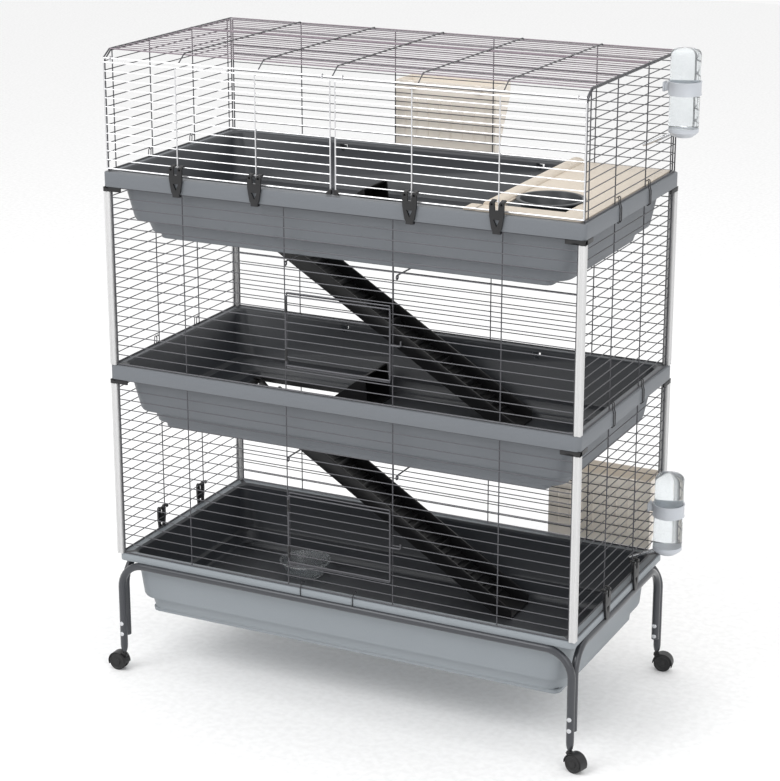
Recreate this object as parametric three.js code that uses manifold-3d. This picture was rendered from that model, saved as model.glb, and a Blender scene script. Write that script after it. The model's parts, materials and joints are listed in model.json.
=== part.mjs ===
// A three-level ferret cage on a wheeled stand: a tube stand on casters, three moulded trays,
// wire panels between corner posts, and a wire top cage with two lift-up doors.
// Units are millimetres. X runs along the long side, -Y is the front, +Z is up.
// Dimensions are measured from the middle of the trays; the last step moves the origin.

import * as THREE from 'three';
import { mergeVertices } from 'three/addons/utils/BufferGeometryUtils.js';
import Module from 'manifold-3d';

const wasm = await Module();
wasm.setup();

// ---------------------------------------------------------------------------------------------
// Driving dimensions

const SEAT_GAP = 0.3; // clearance kept between two pieces that touch

// trays
const TRAY_LENGTH = 1180;
const TRAY_DEPTH = 585;
const BOTTOM_TRAY_LENGTH = 1170;
const BOTTOM_TRAY_DEPTH = 578;
const RIM_CORNER_RADIUS = 12;
const RIM_FLANGE = 22; // width of the flat top of the rim
const TRAY_WALL = 2.5;
const TRAY_HEIGHT = 160;
const FLOOR_THICKNESS = 3;
const BOTTOM_RIM_Z = 306;
const MIDDLE_RIM_Z = 780;
const TOP_RIM_Z = 1241;
const RIM_SKIRT = 34; // height of the band round the two upper trays
const BOTTOM_RIM_SKIRT = 17;

// wires and panels
const FRAME_WIRE = 3.6; // side of a frame wire
const CROSS_WIRE = 3; // side of an upright wire
const FINE_WIRE = 2.4; // side of a long fine wire
const PANEL_INSET = 8.5; // from the rim's outer edge to the middle of a panel
const PANEL_SPACES = 18; // spaces between long wires in a level panel
const TOP_SPACES = 13;
const ROOF_SPACES = 21;
const FRONT_UPRIGHTS = [-386, -125, 143, 400];
const BACK_UPRIGHTS = [-394, -131, 131, 394];
const SIDE_UPRIGHTS = [-92, 94];
const TOP_BACK_UPRIGHTS = [-382, -126, 130, 388];
const TOP_SIDE_UPRIGHTS = [-95, 95];
const ROOF_UPRIGHTS = [-384, -182, 0, 203, 399];

// corner posts
const POST_SIDE = 16;
const CONNECTOR_HEIGHT = 11;
const CONNECTOR_ARM = 30;
const CONNECTOR_ARM_DEPTH = 4;

// top cage
const CAGE_HEIGHT = 280;
const CHAMFER_DROP = 19;
const CHAMFER_RUN = 26;
const DOOR_SPLIT_GAP = 9;
const DOOR_CLEARANCE = 5.5; // from the rim to the lower wire of a top door
const TOP_DOOR_SPACES = 12;

// level doors
const DOOR_LEFT = -119;
const DOOR_RIGHT = 137;
const DOOR_SILL = 56; // above the tray rim
const DOOR_HEIGHT = 174;
const DOOR_SPACES = 8;
const HINGE_SLEEVE_LENGTH = 28;
const HINGE_SLEEVE_RADIUS = 2.6;

// ramps and passages
const RAMP_NEAR_Y = 88;
const RAMP_WIDTH = 110;
const RAMP_FOOT_X = 245;
const RAMP_FOOT_LENGTH = 34;
const RAMP_HEAD_X = -432;
const RAMP_HEAD_DROP = 41; // from the floor above down to the foot of the ramp's head
const RAMP_SIDE_HEIGHT = 38;
const RAMP_SIDE_WALL = 4;
const RAMP_PLATE = 4;
const RAMP_TREADS = 10;
const PASSAGE_LEFT = -464;
const PASSAGE_RIGHT = -225;
const PASSAGE_CLEARANCE = 7; // from a ramp side to the passage edge
const COLLAR_FLANGE = 9;
const COLLAR_THICKNESS = 2.4;
const COLLAR_WALL = 2;
const GUARD_HEIGHT = 88;
const GUARD_RIGHT = -102; // the upright edge of the guard
const GUARD_WALL = 3;

// stand
const TUBE_RADIUS = 9;
const TUBE_SIDES = 8;
const LEG_BEND = 62;
const LEG_FOOT_Z = 50;
const SHORT_LEG_FOOT_Z = 88;

// casters
const WHEEL_RADIUS = 22;
const WHEEL_SIDES = 12;
const DISC_INNER = 4; // from the middle of a caster to the inner face of a disc
const DISC_OUTER = 12;
const HUB_RADIUS = 5;
const CASTER_TRAIL = 16;
const HOOD_CLEARANCE = 1.2;
const HOOD_WALL = 2.4;
const STEM_RADIUS = 5;

// rim clips
const CLIP_WIDTH = 34;
const CLIP_THICKNESS = 5;
const CLIP_WIRE = 1; // the wire of the door that a clip hangs on, counted from the lowest
const CLIP_X = [-392, -190, 190, 392];

// water bottles
const BOTTLE_RADIUS = 34;
const BOTTLE_LENGTH = 197;
const BOTTLE_Y = 185;
const RING_HEIGHT = 30;
const RING_WALL = 3.5;
const RING_DROP = 95; // from the foot of the bottle to the foot of its ring
const SPOUT_RADIUS = 4;
const SPOUT_SLOPE = 26; // degrees below level
const SPOUT_LENGTH = 96;

// shelf, bowls and racks
const SHELF_LEFT = 330;
const SHELF_THICKNESS = 4;
const SHELF_TAB = 26; // the tongue at the front end of the ridge
const FOOD_BOWL_RADIUS = 72;
const FOOD_BOWL_HEIGHT = 46;
const FOOD_BOWL_X = 443;
const FOOD_BOWL_Y = -121;
const CLEAR_BOWL_RADIUS = 62;
const CLEAR_BOWL_HEIGHT = 36;
const CLEAR_BOWL_X = -305;
const CLEAR_BOWL_Y = 130;
const RACK_WIDTH = 262;
const RACK_HEIGHT = 172;
const RACK_DEPTH = 90;
const RACK_WALL = 2.5;
const TOP_RACK_X = 0;
const LOWER_RACK_X = 418;

// ---------------------------------------------------------------------------------------------
// Colours

const GREY = 0x767a7e;
const LIGHT_GREY = 0x959ba1;
const CHARCOAL = 0x3a3d42;
const BLACK = 0x17171a;
const ZINC = 0xd5d5d6;
const DARK_WIRE = 0x4c4c52;
const BEIGE = 0xd6c9b6;
const WHITE = 0xe8e8e8;
const CLEAR = 0xdfe7ea;
const CLAMP_GREY = 0xb4b8bd;

const cage = new THREE.Group();

function place(name, geometry, colour, roughness, metalness) {
  const material = new THREE.MeshStandardMaterial({ color: colour, roughness, metalness });
  const mesh = new THREE.Mesh(geometry, material);
  mesh.name = name;
  cage.add(mesh);
  return mesh;
}

// ---------------------------------------------------------------------------------------------
// Solids

function solid(geometry) {
  const bare = geometry.clone();
  bare.deleteAttribute('normal');
  bare.deleteAttribute('uv');
  const merged = mergeVertices(bare, 1e-4);
  return new wasm.Manifold(new wasm.Mesh({
    numProp: 3,
    vertProperties: new Float32Array(merged.attributes.position.array),
    triVerts: new Uint32Array(merged.index.array),
  }));
}

function geometryOf(manifold) {
  const mesh = manifold.getMesh();
  const geometry = new THREE.BufferGeometry();
  geometry.setAttribute('position', new THREE.BufferAttribute(mesh.vertProperties.slice(), 3));
  geometry.setIndex(new THREE.BufferAttribute(mesh.triVerts.slice(), 1));
  geometry.computeVertexNormals();
  return geometry;
}

function join(solids) {
  let rest = solids;
  while (rest.length > 1) {
    const next = [];
    for (let i = 0; i < rest.length; i += 2) {
      next.push(i + 1 < rest.length ? rest[i].add(rest[i + 1]) : rest[i]);
    }
    rest = next;
  }
  return rest[0];
}

function block(x0, x1, y0, y1, z0, z1) {
  const geometry = new THREE.BoxGeometry(x1 - x0, y1 - y0, z1 - z0);
  geometry.translate((x0 + x1) / 2, (y0 + y1) / 2, (z0 + z1) / 2);
  return solid(geometry);
}

// A prism whose outline lies in the XZ plane and which runs along Y.
function prismAlongY(points, y0, y1, holes = []) {
  const shape = new THREE.Shape(points.map(([x, z]) => new THREE.Vector2(x, z)));
  for (const hole of holes) {
    shape.holes.push(new THREE.Path(hole.map(([x, z]) => new THREE.Vector2(x, z))));
  }
  const geometry = new THREE.ExtrudeGeometry(shape, { depth: y1 - y0, bevelEnabled: false });
  geometry.rotateX(Math.PI / 2);
  geometry.translate(0, y1, 0);
  return solid(geometry);
}

// A prism whose outline lies in the YZ plane and which runs along X.
function prismAlongX(points, x0, x1) {
  const shape = new THREE.Shape(points.map(([y, z]) => new THREE.Vector2(y, z)));
  const geometry = new THREE.ExtrudeGeometry(shape, { depth: x1 - x0, bevelEnabled: false });
  geometry.applyMatrix4(new THREE.Matrix4().makeBasis(
    new THREE.Vector3(0, 1, 0), new THREE.Vector3(0, 0, 1), new THREE.Vector3(1, 0, 0)));
  geometry.translate(x0, 0, 0);
  return solid(geometry);
}

function turned(profile, segments) {
  const points = profile.map(([r, z]) => new THREE.Vector2(r, z));
  const geometry = new THREE.LatheGeometry(points, segments);
  geometry.rotateX(Math.PI / 2);
  return geometry;
}

function moved(geometry, x, y, z) {
  geometry.translate(x, y, z);
  return geometry;
}

// The corners of a rounded rectangle, anticlockwise, with the same count for every size.
const CORNER_STEPS = 2;

function roundedRing(length, depth, radius, z) {
  const ring = [];
  const centres = [[1, 1], [-1, 1], [-1, -1], [1, -1]];
  centres.forEach(([sx, sy], quarter) => {
    for (let i = 0; i <= CORNER_STEPS; i += 1) {
      const angle = (quarter + i / CORNER_STEPS) * Math.PI / 2;
      ring.push(new THREE.Vector3(
        sx * (length / 2 - radius) + radius * Math.cos(angle),
        sy * (depth / 2 - radius) + radius * Math.sin(angle),
        z));
    }
  });
  return ring;
}

// A closed skin over a stack of rings, with a flat cap on the first and the last.
function loft(rings) {
  const count = rings[0].length;
  const positions = rings.flat().flatMap((p) => [p.x, p.y, p.z]);
  const index = [];
  for (let k = 0; k + 1 < rings.length; k += 1) {
    for (let i = 0; i < count; i += 1) {
      const a = k * count + i;
      const b = k * count + (i + 1) % count;
      index.push(a, b, b + count, a, b + count, a + count);
    }
  }
  const cap = (ring) => THREE.ShapeUtils.triangulateShape(
    ring.map((p) => new THREE.Vector2(p.x, p.y)), []);
  for (const [a, b, c] of cap(rings[0])) {
    index.push(a, c, b);
  }
  const last = (rings.length - 1) * count;
  for (const [a, b, c] of cap(rings[rings.length - 1])) {
    index.push(last + a, last + b, last + c);
  }
  const geometry = new THREE.BufferGeometry();
  geometry.setAttribute('position', new THREE.Float32BufferAttribute(positions, 3));
  geometry.setIndex(index);
  geometry.computeVertexNormals();
  return geometry;
}

// ---------------------------------------------------------------------------------------------
// Trays: a flat rim with a skirt, stepped sloping walls and a recessed floor.
// Each row is [inset from the rim's edge, depth below the rim, corner radius, side inset], and
// the side inset is only given where it differs.

const WALL_TOP_INSET = RIM_FLANGE + 2;
const WALL_FOOT_DROP = 112;
const STEP_DROP = 120;
const FLOOR_DROP = 148;
const RECESS_CORNER = 14;

// insets of the wall's foot, the step, the floor's edge and the recess at the ends and sides
const UPPER_INSETS = { foot: 39, step: 60, floor: 67, recess: 100, recessSide: 70 };
const BOTTOM_INSETS = { foot: 30, step: 42, floor: 47, recess: 52, recessSide: 52 };

function trayRows(skirt, { foot, step, floor, recess, recessSide }) {
  const t = TRAY_WALL;
  const outside = [
    [recess + 4, TRAY_HEIGHT, RECESS_CORNER + 2, recessSide + 4],
    [recess, FLOOR_DROP + 2, RECESS_CORNER + 6, recessSide],
    [floor + 2, FLOOR_DROP, 40],
    [floor, FLOOR_DROP - 8, 44],
    [step, STEP_DROP, 44],
    [foot + 6, STEP_DROP - 1, 44],
    [foot, WALL_FOOT_DROP, 42],
    [WALL_TOP_INSET, 2 * t, 26],
    [WALL_TOP_INSET, t, 22],
    [t, t, RIM_CORNER_RADIUS - t],
    [t, skirt, RIM_CORNER_RADIUS - t],
    [0, skirt, RIM_CORNER_RADIUS],
    [0, 0, RIM_CORNER_RADIUS],
  ];
  const inside = [
    [RIM_FLANGE, 0, 20],
    [WALL_TOP_INSET + t, 2 * t, 24],
    [foot + t, WALL_FOOT_DROP - t, 40],
    [step + t, STEP_DROP - t, 42],
    [floor + t, FLOOR_DROP - t - 4, 42],
    [recess + t, FLOOR_DROP - t, RECESS_CORNER + 4, recessSide + t],
    [recess + 4 + t, TRAY_HEIGHT - FLOOR_THICKNESS, RECESS_CORNER, recessSide + 4 + t],
  ];
  return [...outside, ...inside];
}

function trayShell(rimZ, skirt, insets, length, depth) {
  return solid(loft(trayRows(skirt, insets).map(([inset, drop, radius, sideInset = inset]) => (
    roundedRing(length - 2 * inset, depth - 2 * sideInset, radius, rimZ - drop)))));
}

const PASSAGE_NEAR = RAMP_NEAR_Y - PASSAGE_CLEARANCE;
const PASSAGE_FAR = RAMP_NEAR_Y + RAMP_WIDTH + PASSAGE_CLEARANCE;
const SLOT_X = 259;
const SLOT_WIDTH = 22;
const SLOT_STEM = 8;

// A T-shaped slot through the back wall, for the hooks of accessories.
function backSlot(x, rimZ) {
  const y0 = TRAY_DEPTH / 2 - RIM_FLANGE - 24;
  const y1 = TRAY_DEPTH / 2 + 1;
  return block(x - SLOT_WIDTH / 2, x + SLOT_WIDTH / 2, y0, y1, rimZ - 15, rimZ - 8)
    .add(block(x - SLOT_STEM / 2, x + SLOT_STEM / 2, y0, y1, rimZ - 24, rimZ - 14));
}

function upperTray(name, rimZ) {
  let shell = trayShell(rimZ, RIM_SKIRT, UPPER_INSETS, TRAY_LENGTH, TRAY_DEPTH);
  shell = shell.subtract(block(PASSAGE_LEFT, PASSAGE_RIGHT, PASSAGE_NEAR, PASSAGE_FAR,
    rimZ - TRAY_HEIGHT - 5, rimZ - STEP_DROP));
  shell = shell.subtract(backSlot(SLOT_X, rimZ)).subtract(backSlot(-SLOT_X, rimZ));
  place(name, geometryOf(shell), GREY, 0.5, 0);
}

const bottomShell = trayShell(BOTTOM_RIM_Z, BOTTOM_RIM_SKIRT, BOTTOM_INSETS, BOTTOM_TRAY_LENGTH,
  BOTTOM_TRAY_DEPTH);
place('bottom_tray', geometryOf(bottomShell), LIGHT_GREY, 0.5, 0);
upperTray('middle_tray', MIDDLE_RIM_Z);
upperTray('top_tray', TOP_RIM_Z);

// ---------------------------------------------------------------------------------------------
// Wire panels. A panel is drawn flat: u runs along it, v runs up it, and the long fine wires butt
// into its two end wires. The uprights lie behind the fine wires, welded to the top and bottom.

function bar(axes, u0, u1, w0, w1, v0, v1) {
  // axes 'x' puts u on X and w on Y; axes 'y' puts u on Y and w on X
  return axes === 'x' ? block(u0, u1, w0, w1, v0, v1) : block(w0, w1, u0, u1, v0, v1);
}

function wirePanel({ axes, u0, u1, v0, v1, middle, behind, uprights, spaces, gap = null }) {
  const half = FRAME_WIRE / 2;
  const pieces = [
    bar(axes, u0, u1, middle - half, middle + half, v0, v0 + FRAME_WIRE),
    bar(axes, u0, u1, middle - half, middle + half, v1 - FRAME_WIRE, v1),
    bar(axes, u0, u0 + FRAME_WIRE, middle - half, middle + half, v0, v1),
    bar(axes, u1 - FRAME_WIRE, u1, middle - half, middle + half, v0, v1),
  ];
  const fine = FINE_WIRE / 2;
  const pitch = (v1 - v0 - FRAME_WIRE) / spaces;
  for (let i = 1; i < spaces; i += 1) {
    const v = v0 + half + i * pitch;
    const cut = gap && v > gap.v0 && v < gap.v1;
    const ends = cut ? [[u0 + half, gap.u0], [gap.u1, u1 - half]] : [[u0 + half, u1 - half]];
    for (const [a, b] of ends) {
      pieces.push(bar(axes, a, b, middle - fine, middle + fine, v - fine, v + fine));
    }
  }
  // uprights touch only the top and bottom wires, half sunk in their back face
  const near = behind > 0 ? middle + fine + SEAT_GAP : middle - fine - SEAT_GAP - CROSS_WIRE;
  for (const u of uprights) {
    pieces.push(bar(axes, u - CROSS_WIRE / 2, u + CROSS_WIRE / 2, near, near + CROSS_WIRE,
      v0 + 1, v1 - 1));
  }
  if (gap) {
    for (const u of [gap.u0, gap.u1]) {
      pieces.push(bar(axes, u - half, u + half, middle - half, middle + half,
        gap.v0 - half, gap.v1 + half));
    }
    for (const v of [gap.v0, gap.v1]) {
      pieces.push(bar(axes, gap.u0, gap.u1, middle - half, middle + half, v - half, v + half));
    }
  }
  return pieces;
}

const PANEL_Y = TRAY_DEPTH / 2 - PANEL_INSET;
const PANEL_X = TRAY_LENGTH / 2 - PANEL_INSET;
const FRONT_SPAN = TRAY_LENGTH / 2 - POST_SIDE - 1;
const SIDE_SPAN = TRAY_DEPTH / 2 - POST_SIDE - 1;

const levels = [
  { level: 'lower', floorRim: BOTTOM_RIM_Z, ceilingRim: MIDDLE_RIM_Z },
  { level: 'middle', floorRim: MIDDLE_RIM_Z, ceilingRim: TOP_RIM_Z },
];

function levelPanels({ level, floorRim, ceilingRim }) {
  const v0 = floorRim + SEAT_GAP;
  const v1 = ceilingRim - RIM_SKIRT - SEAT_GAP;
  const doorway = {
    u0: DOOR_LEFT, u1: DOOR_RIGHT, v0: floorRim + DOOR_SILL, v1: floorRim + DOOR_SILL + DOOR_HEIGHT,
  };
  const common = { v0, v1, spaces: PANEL_SPACES };
  const panels = {
    front: {
      axes: 'x', u0: -FRONT_SPAN, u1: FRONT_SPAN, middle: -PANEL_Y, behind: 1,
      uprights: FRONT_UPRIGHTS, gap: doorway,
    },
    back: {
      axes: 'x', u0: -FRONT_SPAN, u1: FRONT_SPAN, middle: PANEL_Y, behind: -1,
      uprights: BACK_UPRIGHTS,
    },
    left: {
      axes: 'y', u0: -SIDE_SPAN, u1: SIDE_SPAN, middle: -PANEL_X, behind: 1,
      uprights: SIDE_UPRIGHTS,
    },
    right: {
      axes: 'y', u0: -SIDE_SPAN, u1: SIDE_SPAN, middle: PANEL_X, behind: -1,
      uprights: SIDE_UPRIGHTS,
    },
  };
  for (const [side, settings] of Object.entries(panels)) {
    const panel = join(wirePanel({ ...common, ...settings }));
    place(`${level}_${side}_panel`, geometryOf(panel), DARK_WIRE, 0.4, 0.7);
  }
}

levels.forEach(levelPanels);

// ---------------------------------------------------------------------------------------------
// Level doors: a wire leaf in front of the doorway, with a sleeve hinge down its left wire.

function levelDoor({ level, floorRim }) {
  const half = FRAME_WIRE / 2;
  const middle = -PANEL_Y - half - SEAT_GAP - HINGE_SLEEVE_RADIUS;
  const u0 = DOOR_LEFT - half;
  const u1 = DOOR_RIGHT + half + 3;
  const v0 = floorRim + DOOR_SILL + 4;
  const v1 = floorRim + DOOR_SILL + DOOR_HEIGHT - 4;
  const pieces = wirePanel({
    axes: 'x', u0, u1, v0, v1, middle, behind: -1, uprights: [], spaces: DOOR_SPACES,
  });
  for (const z of [v0 + 12, v1 - 12 - HINGE_SLEEVE_LENGTH]) {
    const profile = [[0, z], [HINGE_SLEEVE_RADIUS, z],
      [HINGE_SLEEVE_RADIUS, z + HINGE_SLEEVE_LENGTH], [0, z + HINGE_SLEEVE_LENGTH]];
    pieces.push(solid(moved(turned(profile, 8), DOOR_LEFT, middle, 0)));
  }
  // the latch: a wire handle that turns up past the right-hand frame wire
  const latchZ = (v0 + v1) / 2;
  pieces.push(block(u1 - 2, u1 + 26, middle - half, middle + half, latchZ - half, latchZ + half));
  pieces.push(block(u1 + 22, u1 + 26, middle - half, middle + half, latchZ - half, latchZ + 12));
  place(`${level}_door`, geometryOf(join(pieces)), DARK_WIRE, 0.4, 0.7);
}

levels.forEach(levelDoor);

// ---------------------------------------------------------------------------------------------
// Corner posts with their moulded connectors, which carry the tray above.

function cornerPost(level, floorRim, ceilingRim, sx, sy) {
  const name = `${level}_post_${sy < 0 ? 'front' : 'back'}_${sx < 0 ? 'left' : 'right'}`;
  const z0 = floorRim + SEAT_GAP;
  const z1 = ceilingRim - RIM_SKIRT - SEAT_GAP;
  const edge = SEAT_GAP; // the post stands just inside the rim's edge
  const x = sx * (TRAY_LENGTH / 2 - edge);
  const y = sy * (TRAY_DEPTH / 2 - edge);
  const inX = x - sx * (POST_SIDE - edge);
  const inY = y - sy * (POST_SIDE - edge);
  const span = (a, b) => [Math.min(a, b), Math.max(a, b)];
  const chamfer = 3.5;
  const outline = [
    [x - sx * chamfer, y], [x, y - sy * chamfer], [x, inY + sy * chamfer], [x - sx * chamfer, inY],
    [inX + sx * chamfer, inY], [inX, inY + sy * chamfer], [inX, y - sy * chamfer],
    [inX + sx * chamfer, y],
  ];
  if (sx * sy > 0) {
    outline.reverse();
  }
  const shape = new THREE.Shape(outline.map(([px, py]) => new THREE.Vector2(px, py)));
  const post = new THREE.ExtrudeGeometry(shape, { depth: z1 - z0, bevelEnabled: false });
  post.translate(0, 0, z0);
  const armX = inX - sx * CONNECTOR_ARM;
  const armY = inY - sy * CONNECTOR_ARM;
  const plateY = y - sy * CONNECTOR_ARM_DEPTH;
  const plateX = x - sx * CONNECTOR_ARM_DEPTH;
  const arms = [
    block(...span(x, armX), ...span(y, plateY), z1 - CONNECTOR_HEIGHT, z1),
    block(...span(x, plateX), ...span(y, armY), z1 - CONNECTOR_HEIGHT, z1),
  ];
  place(name, geometryOf(join([solid(post), ...arms])), WHITE, 0.35, 0.2);
}

for (const { level, floorRim, ceilingRim } of levels) {
  for (const sy of [-1, 1]) {
    for (const sx of [-1, 1]) {
      cornerPost(level, floorRim, ceilingRim, sx, sy);
    }
  }
}

// ---------------------------------------------------------------------------------------------
// Top cage: back, sides, and a roof whose front edge slopes down to the door hinges.

const CAGE_Z0 = TOP_RIM_Z + SEAT_GAP;
const ROOF_Z = TOP_RIM_Z + CAGE_HEIGHT;
const CHAMFER_Z = ROOF_Z - CHAMFER_DROP;
const CHAMFER_Y = -PANEL_Y + CHAMFER_RUN;
const ROOF_WIRE_Z0 = ROOF_Z - FRAME_WIRE;

function cageBack() {
  const panel = wirePanel({
    axes: 'x', u0: -PANEL_X + FRAME_WIRE, u1: PANEL_X - FRAME_WIRE, v0: CAGE_Z0,
    v1: ROOF_WIRE_Z0 - SEAT_GAP, middle: PANEL_Y, behind: -1, uprights: TOP_BACK_UPRIGHTS,
    spaces: TOP_SPACES,
  });
  place('top_back_panel', geometryOf(join(panel)), DARK_WIRE, 0.4, 0.7);
}

function cageSide(sx, name) {
  const half = FRAME_WIRE / 2;
  const v1 = ROOF_WIRE_Z0 - SEAT_GAP;
  const x0 = sx * PANEL_X - half;
  const x1 = sx * PANEL_X + half;
  const front = -PANEL_Y + FRAME_WIRE;
  const outline = [
    [front, CAGE_Z0], [PANEL_Y + half, CAGE_Z0], [PANEL_Y + half, v1],
    [CHAMFER_Y + 4, v1], [front, CHAMFER_Z - 4],
  ];
  const inset = FRAME_WIRE;
  const hole = [
    [front + inset, CAGE_Z0 + inset], [PANEL_Y + half - inset, CAGE_Z0 + inset],
    [PANEL_Y + half - inset, v1 - inset], [CHAMFER_Y + 5, v1 - inset],
    [front + inset, CHAMFER_Z - 5.5],
  ];
  const frame = prismAlongX(outline, x0, x1).subtract(prismAlongX(hole, x0 - 1, x1 + 1));
  const pieces = [frame];
  const fine = FINE_WIRE / 2;
  const pitch = (v1 - CAGE_Z0 - FRAME_WIRE) / TOP_SPACES;
  const xm = sx * PANEL_X;
  for (let i = 1; i < TOP_SPACES; i += 1) {
    const z = CAGE_Z0 + half + i * pitch;
    pieces.push(block(xm - fine, xm + fine, front + half, PANEL_Y, z - fine, z + fine));
  }
  const near = sx < 0 ? xm + fine + SEAT_GAP : xm - fine - SEAT_GAP - CROSS_WIRE;
  for (const y of [CHAMFER_Y + 6, ...TOP_SIDE_UPRIGHTS, PANEL_Y - 22]) {
    pieces.push(block(near, near + CROSS_WIRE, y - CROSS_WIRE / 2, y + CROSS_WIRE / 2,
      CAGE_Z0 + 1, v1 - 1));
  }
  place(name, geometryOf(join(pieces)), DARK_WIRE, 0.4, 0.7);
}

function cageRoof() {
  const half = FRAME_WIRE / 2;
  const back = PANEL_Y + half;
  const side = PANEL_X + half;
  const z0 = ROOF_WIRE_Z0;
  const pieces = [
    block(-side, side, back - FRAME_WIRE, back, z0, ROOF_Z),
    block(-side, side, CHAMFER_Y - half, CHAMFER_Y + half, z0, ROOF_Z),
    block(-side, side, -PANEL_Y - half, -PANEL_Y + half, CHAMFER_Z - half, CHAMFER_Z + half),
  ];
  const fine = FINE_WIRE / 2;
  const pitch = (back - half - CHAMFER_Y) / ROOF_SPACES;
  for (let i = 1; i < ROOF_SPACES; i += 1) {
    const y = CHAMFER_Y + i * pitch;
    pieces.push(block(-side + half, side - half, y - fine, y + fine, z0 + 0.5, z0 + 0.5 + FINE_WIRE));
  }
  // the two end wires run back from the hinge wire, up the slope and along the roof
  const path = (lift) => [
    [-PANEL_Y - half, CHAMFER_Z - half], [-PANEL_Y + half, CHAMFER_Z - half],
    [CHAMFER_Y + half, z0], [back, z0], [back, z0 + lift], [CHAMFER_Y, z0 + lift],
    [-PANEL_Y - half, CHAMFER_Z + half],
  ];
  for (const x of [-side, side - FRAME_WIRE]) {
    pieces.push(prismAlongX(path(FRAME_WIRE), x, x + FRAME_WIRE));
  }
  // the cross wires of the roof lie on the fine wires, and reach down the slope
  const top = z0 + 0.5 + FINE_WIRE + SEAT_GAP;
  for (const x of ROOF_UPRIGHTS) {
    pieces.push(prismAlongX([
      [-PANEL_Y, CHAMFER_Z - 0.5], [CHAMFER_Y, z0 + 1], [CHAMFER_Y + 2, top], [back - 2, top],
      [back - 1, z0 + 1], [back - 0.5, z0 + 1], [back - 0.5, top + CROSS_WIRE],
      [CHAMFER_Y, top + CROSS_WIRE], [-PANEL_Y - 1, CHAMFER_Z + 1.5],
    ], x - CROSS_WIRE / 2, x + CROSS_WIRE / 2));
  }
  place('top_roof_panel', geometryOf(join(pieces)), DARK_WIRE, 0.4, 0.7);
}

cageBack();
cageSide(-1, 'top_left_panel');
cageSide(1, 'top_right_panel');
cageRoof();

// The two front doors hang from the hinge wire of the roof by eyes.
const TOP_DOOR_Z0 = TOP_RIM_Z + DOOR_CLEARANCE;
const TOP_DOOR_Z1 = CHAMFER_Z - 8;
const TOP_DOOR_OUTER = PANEL_X + FRAME_WIRE / 2;

function topDoor(name, u0, u1, uprights) {
  const half = FRAME_WIRE / 2;
  const pieces = wirePanel({
    axes: 'x', u0, u1, v0: TOP_DOOR_Z0, v1: TOP_DOOR_Z1, middle: -PANEL_Y, behind: -1, uprights,
    spaces: TOP_DOOR_SPACES,
  });
  // eyes bent round the hinge wire, wide enough for its corners to turn in
  const ring = 5.6;
  const hole = FRAME_WIRE / Math.SQRT2 + SEAT_GAP;
  const circle = (radius) => Array.from({ length: 8 }, (_, i) => {
    const angle = (i + 0.5) / 8 * 2 * Math.PI;
    const reach8 = radius / Math.cos(Math.PI / 8);
    return [-PANEL_Y + reach8 * Math.cos(angle), CHAMFER_Z + reach8 * Math.sin(angle)];
  });
  const eye = (x) => prismAlongX(circle(ring), x - 2, x + 2)
    .subtract(prismAlongX(circle(hole), x - 3, x + 3));
  for (const x of [u0 + 20, u1 - 20]) {
    pieces.push(eye(x));
    pieces.push(block(x - 2, x + 2, -PANEL_Y - half, -PANEL_Y + half, TOP_DOOR_Z1 - 2,
      CHAMFER_Z - ring + 1));
  }
  place(name, geometryOf(join(pieces)), ZINC, 0.3, 0.8);
}

topDoor('top_left_door', -TOP_DOOR_OUTER, -DOOR_SPLIT_GAP / 2, [CLIP_X[0], CLIP_X[1]]);
topDoor('top_right_door', DOOR_SPLIT_GAP / 2, TOP_DOOR_OUTER, [CLIP_X[2], CLIP_X[3]]);

// ---------------------------------------------------------------------------------------------
// Rim clips: each hangs on a wire of a door by two hooked prongs and snaps under the rim.

function rimClip(name, x) {
  const wireZ = TOP_DOOR_Z0 + FRAME_WIRE / 2 + (TOP_DOOR_Z1 - TOP_DOOR_Z0 - FRAME_WIRE)
    / TOP_DOOR_SPACES * CLIP_WIRE;
  const plateBack = -TRAY_DEPTH / 2 - SEAT_GAP - 0.5;
  const lipTop = TOP_RIM_Z - RIM_SKIRT - 1;
  const z0 = lipTop - CLIP_THICKNESS;
  const z1 = wireZ + 3.1;
  const w = CLIP_WIDTH / 2;
  const slot = 6;
  const neck = z0 + (z1 - z0) * 0.56;
  const outline = [
    [x - w * 0.55, z0], [x + w * 0.55, z0], [x + w * 0.9, z0 + 10], [x + w, neck],
    [x + w * 0.8, z1], [x + slot, z1], [x + slot, neck + 6], [x - slot, neck + 6], [x - slot, z1],
    [x - w * 0.8, z1], [x - w, neck], [x - w * 0.9, z0 + 10],
  ];
  const window = [[x - 7, z0 + 16], [x + 7, z0 + 16], [x, z0 + 34]];
  const plate = prismAlongY(outline, plateBack - CLIP_THICKNESS, plateBack, [window]);
  const pieces = [plate];
  pieces.push(block(x - w * 0.5, x + w * 0.5, plateBack - 1, plateBack + 6, z0, lipTop));
  for (const s of [-1, 1]) {
    const a = x + s * slot;
    const b = x + s * w * 0.75;
    const [x0, x1] = [Math.min(a, b), Math.max(a, b)];
    const backY = -PANEL_Y + 3;
    pieces.push(block(x0, x1, plateBack - 1, backY + 3, z1 - 1.2, z1 + 2));
    pieces.push(block(x0, x1, backY, backY + 3, wireZ - 1, z1 + 2));
  }
  place(name, geometryOf(join(pieces)), BLACK, 0.45, 0);
}

CLIP_X.forEach((x, i) => {
  rimClip(`rim_clip_${i + 1}`, x);
});

// ---------------------------------------------------------------------------------------------
// Ramps: a plate with cross bars between two side walls, hooked on the passage edge.

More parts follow.
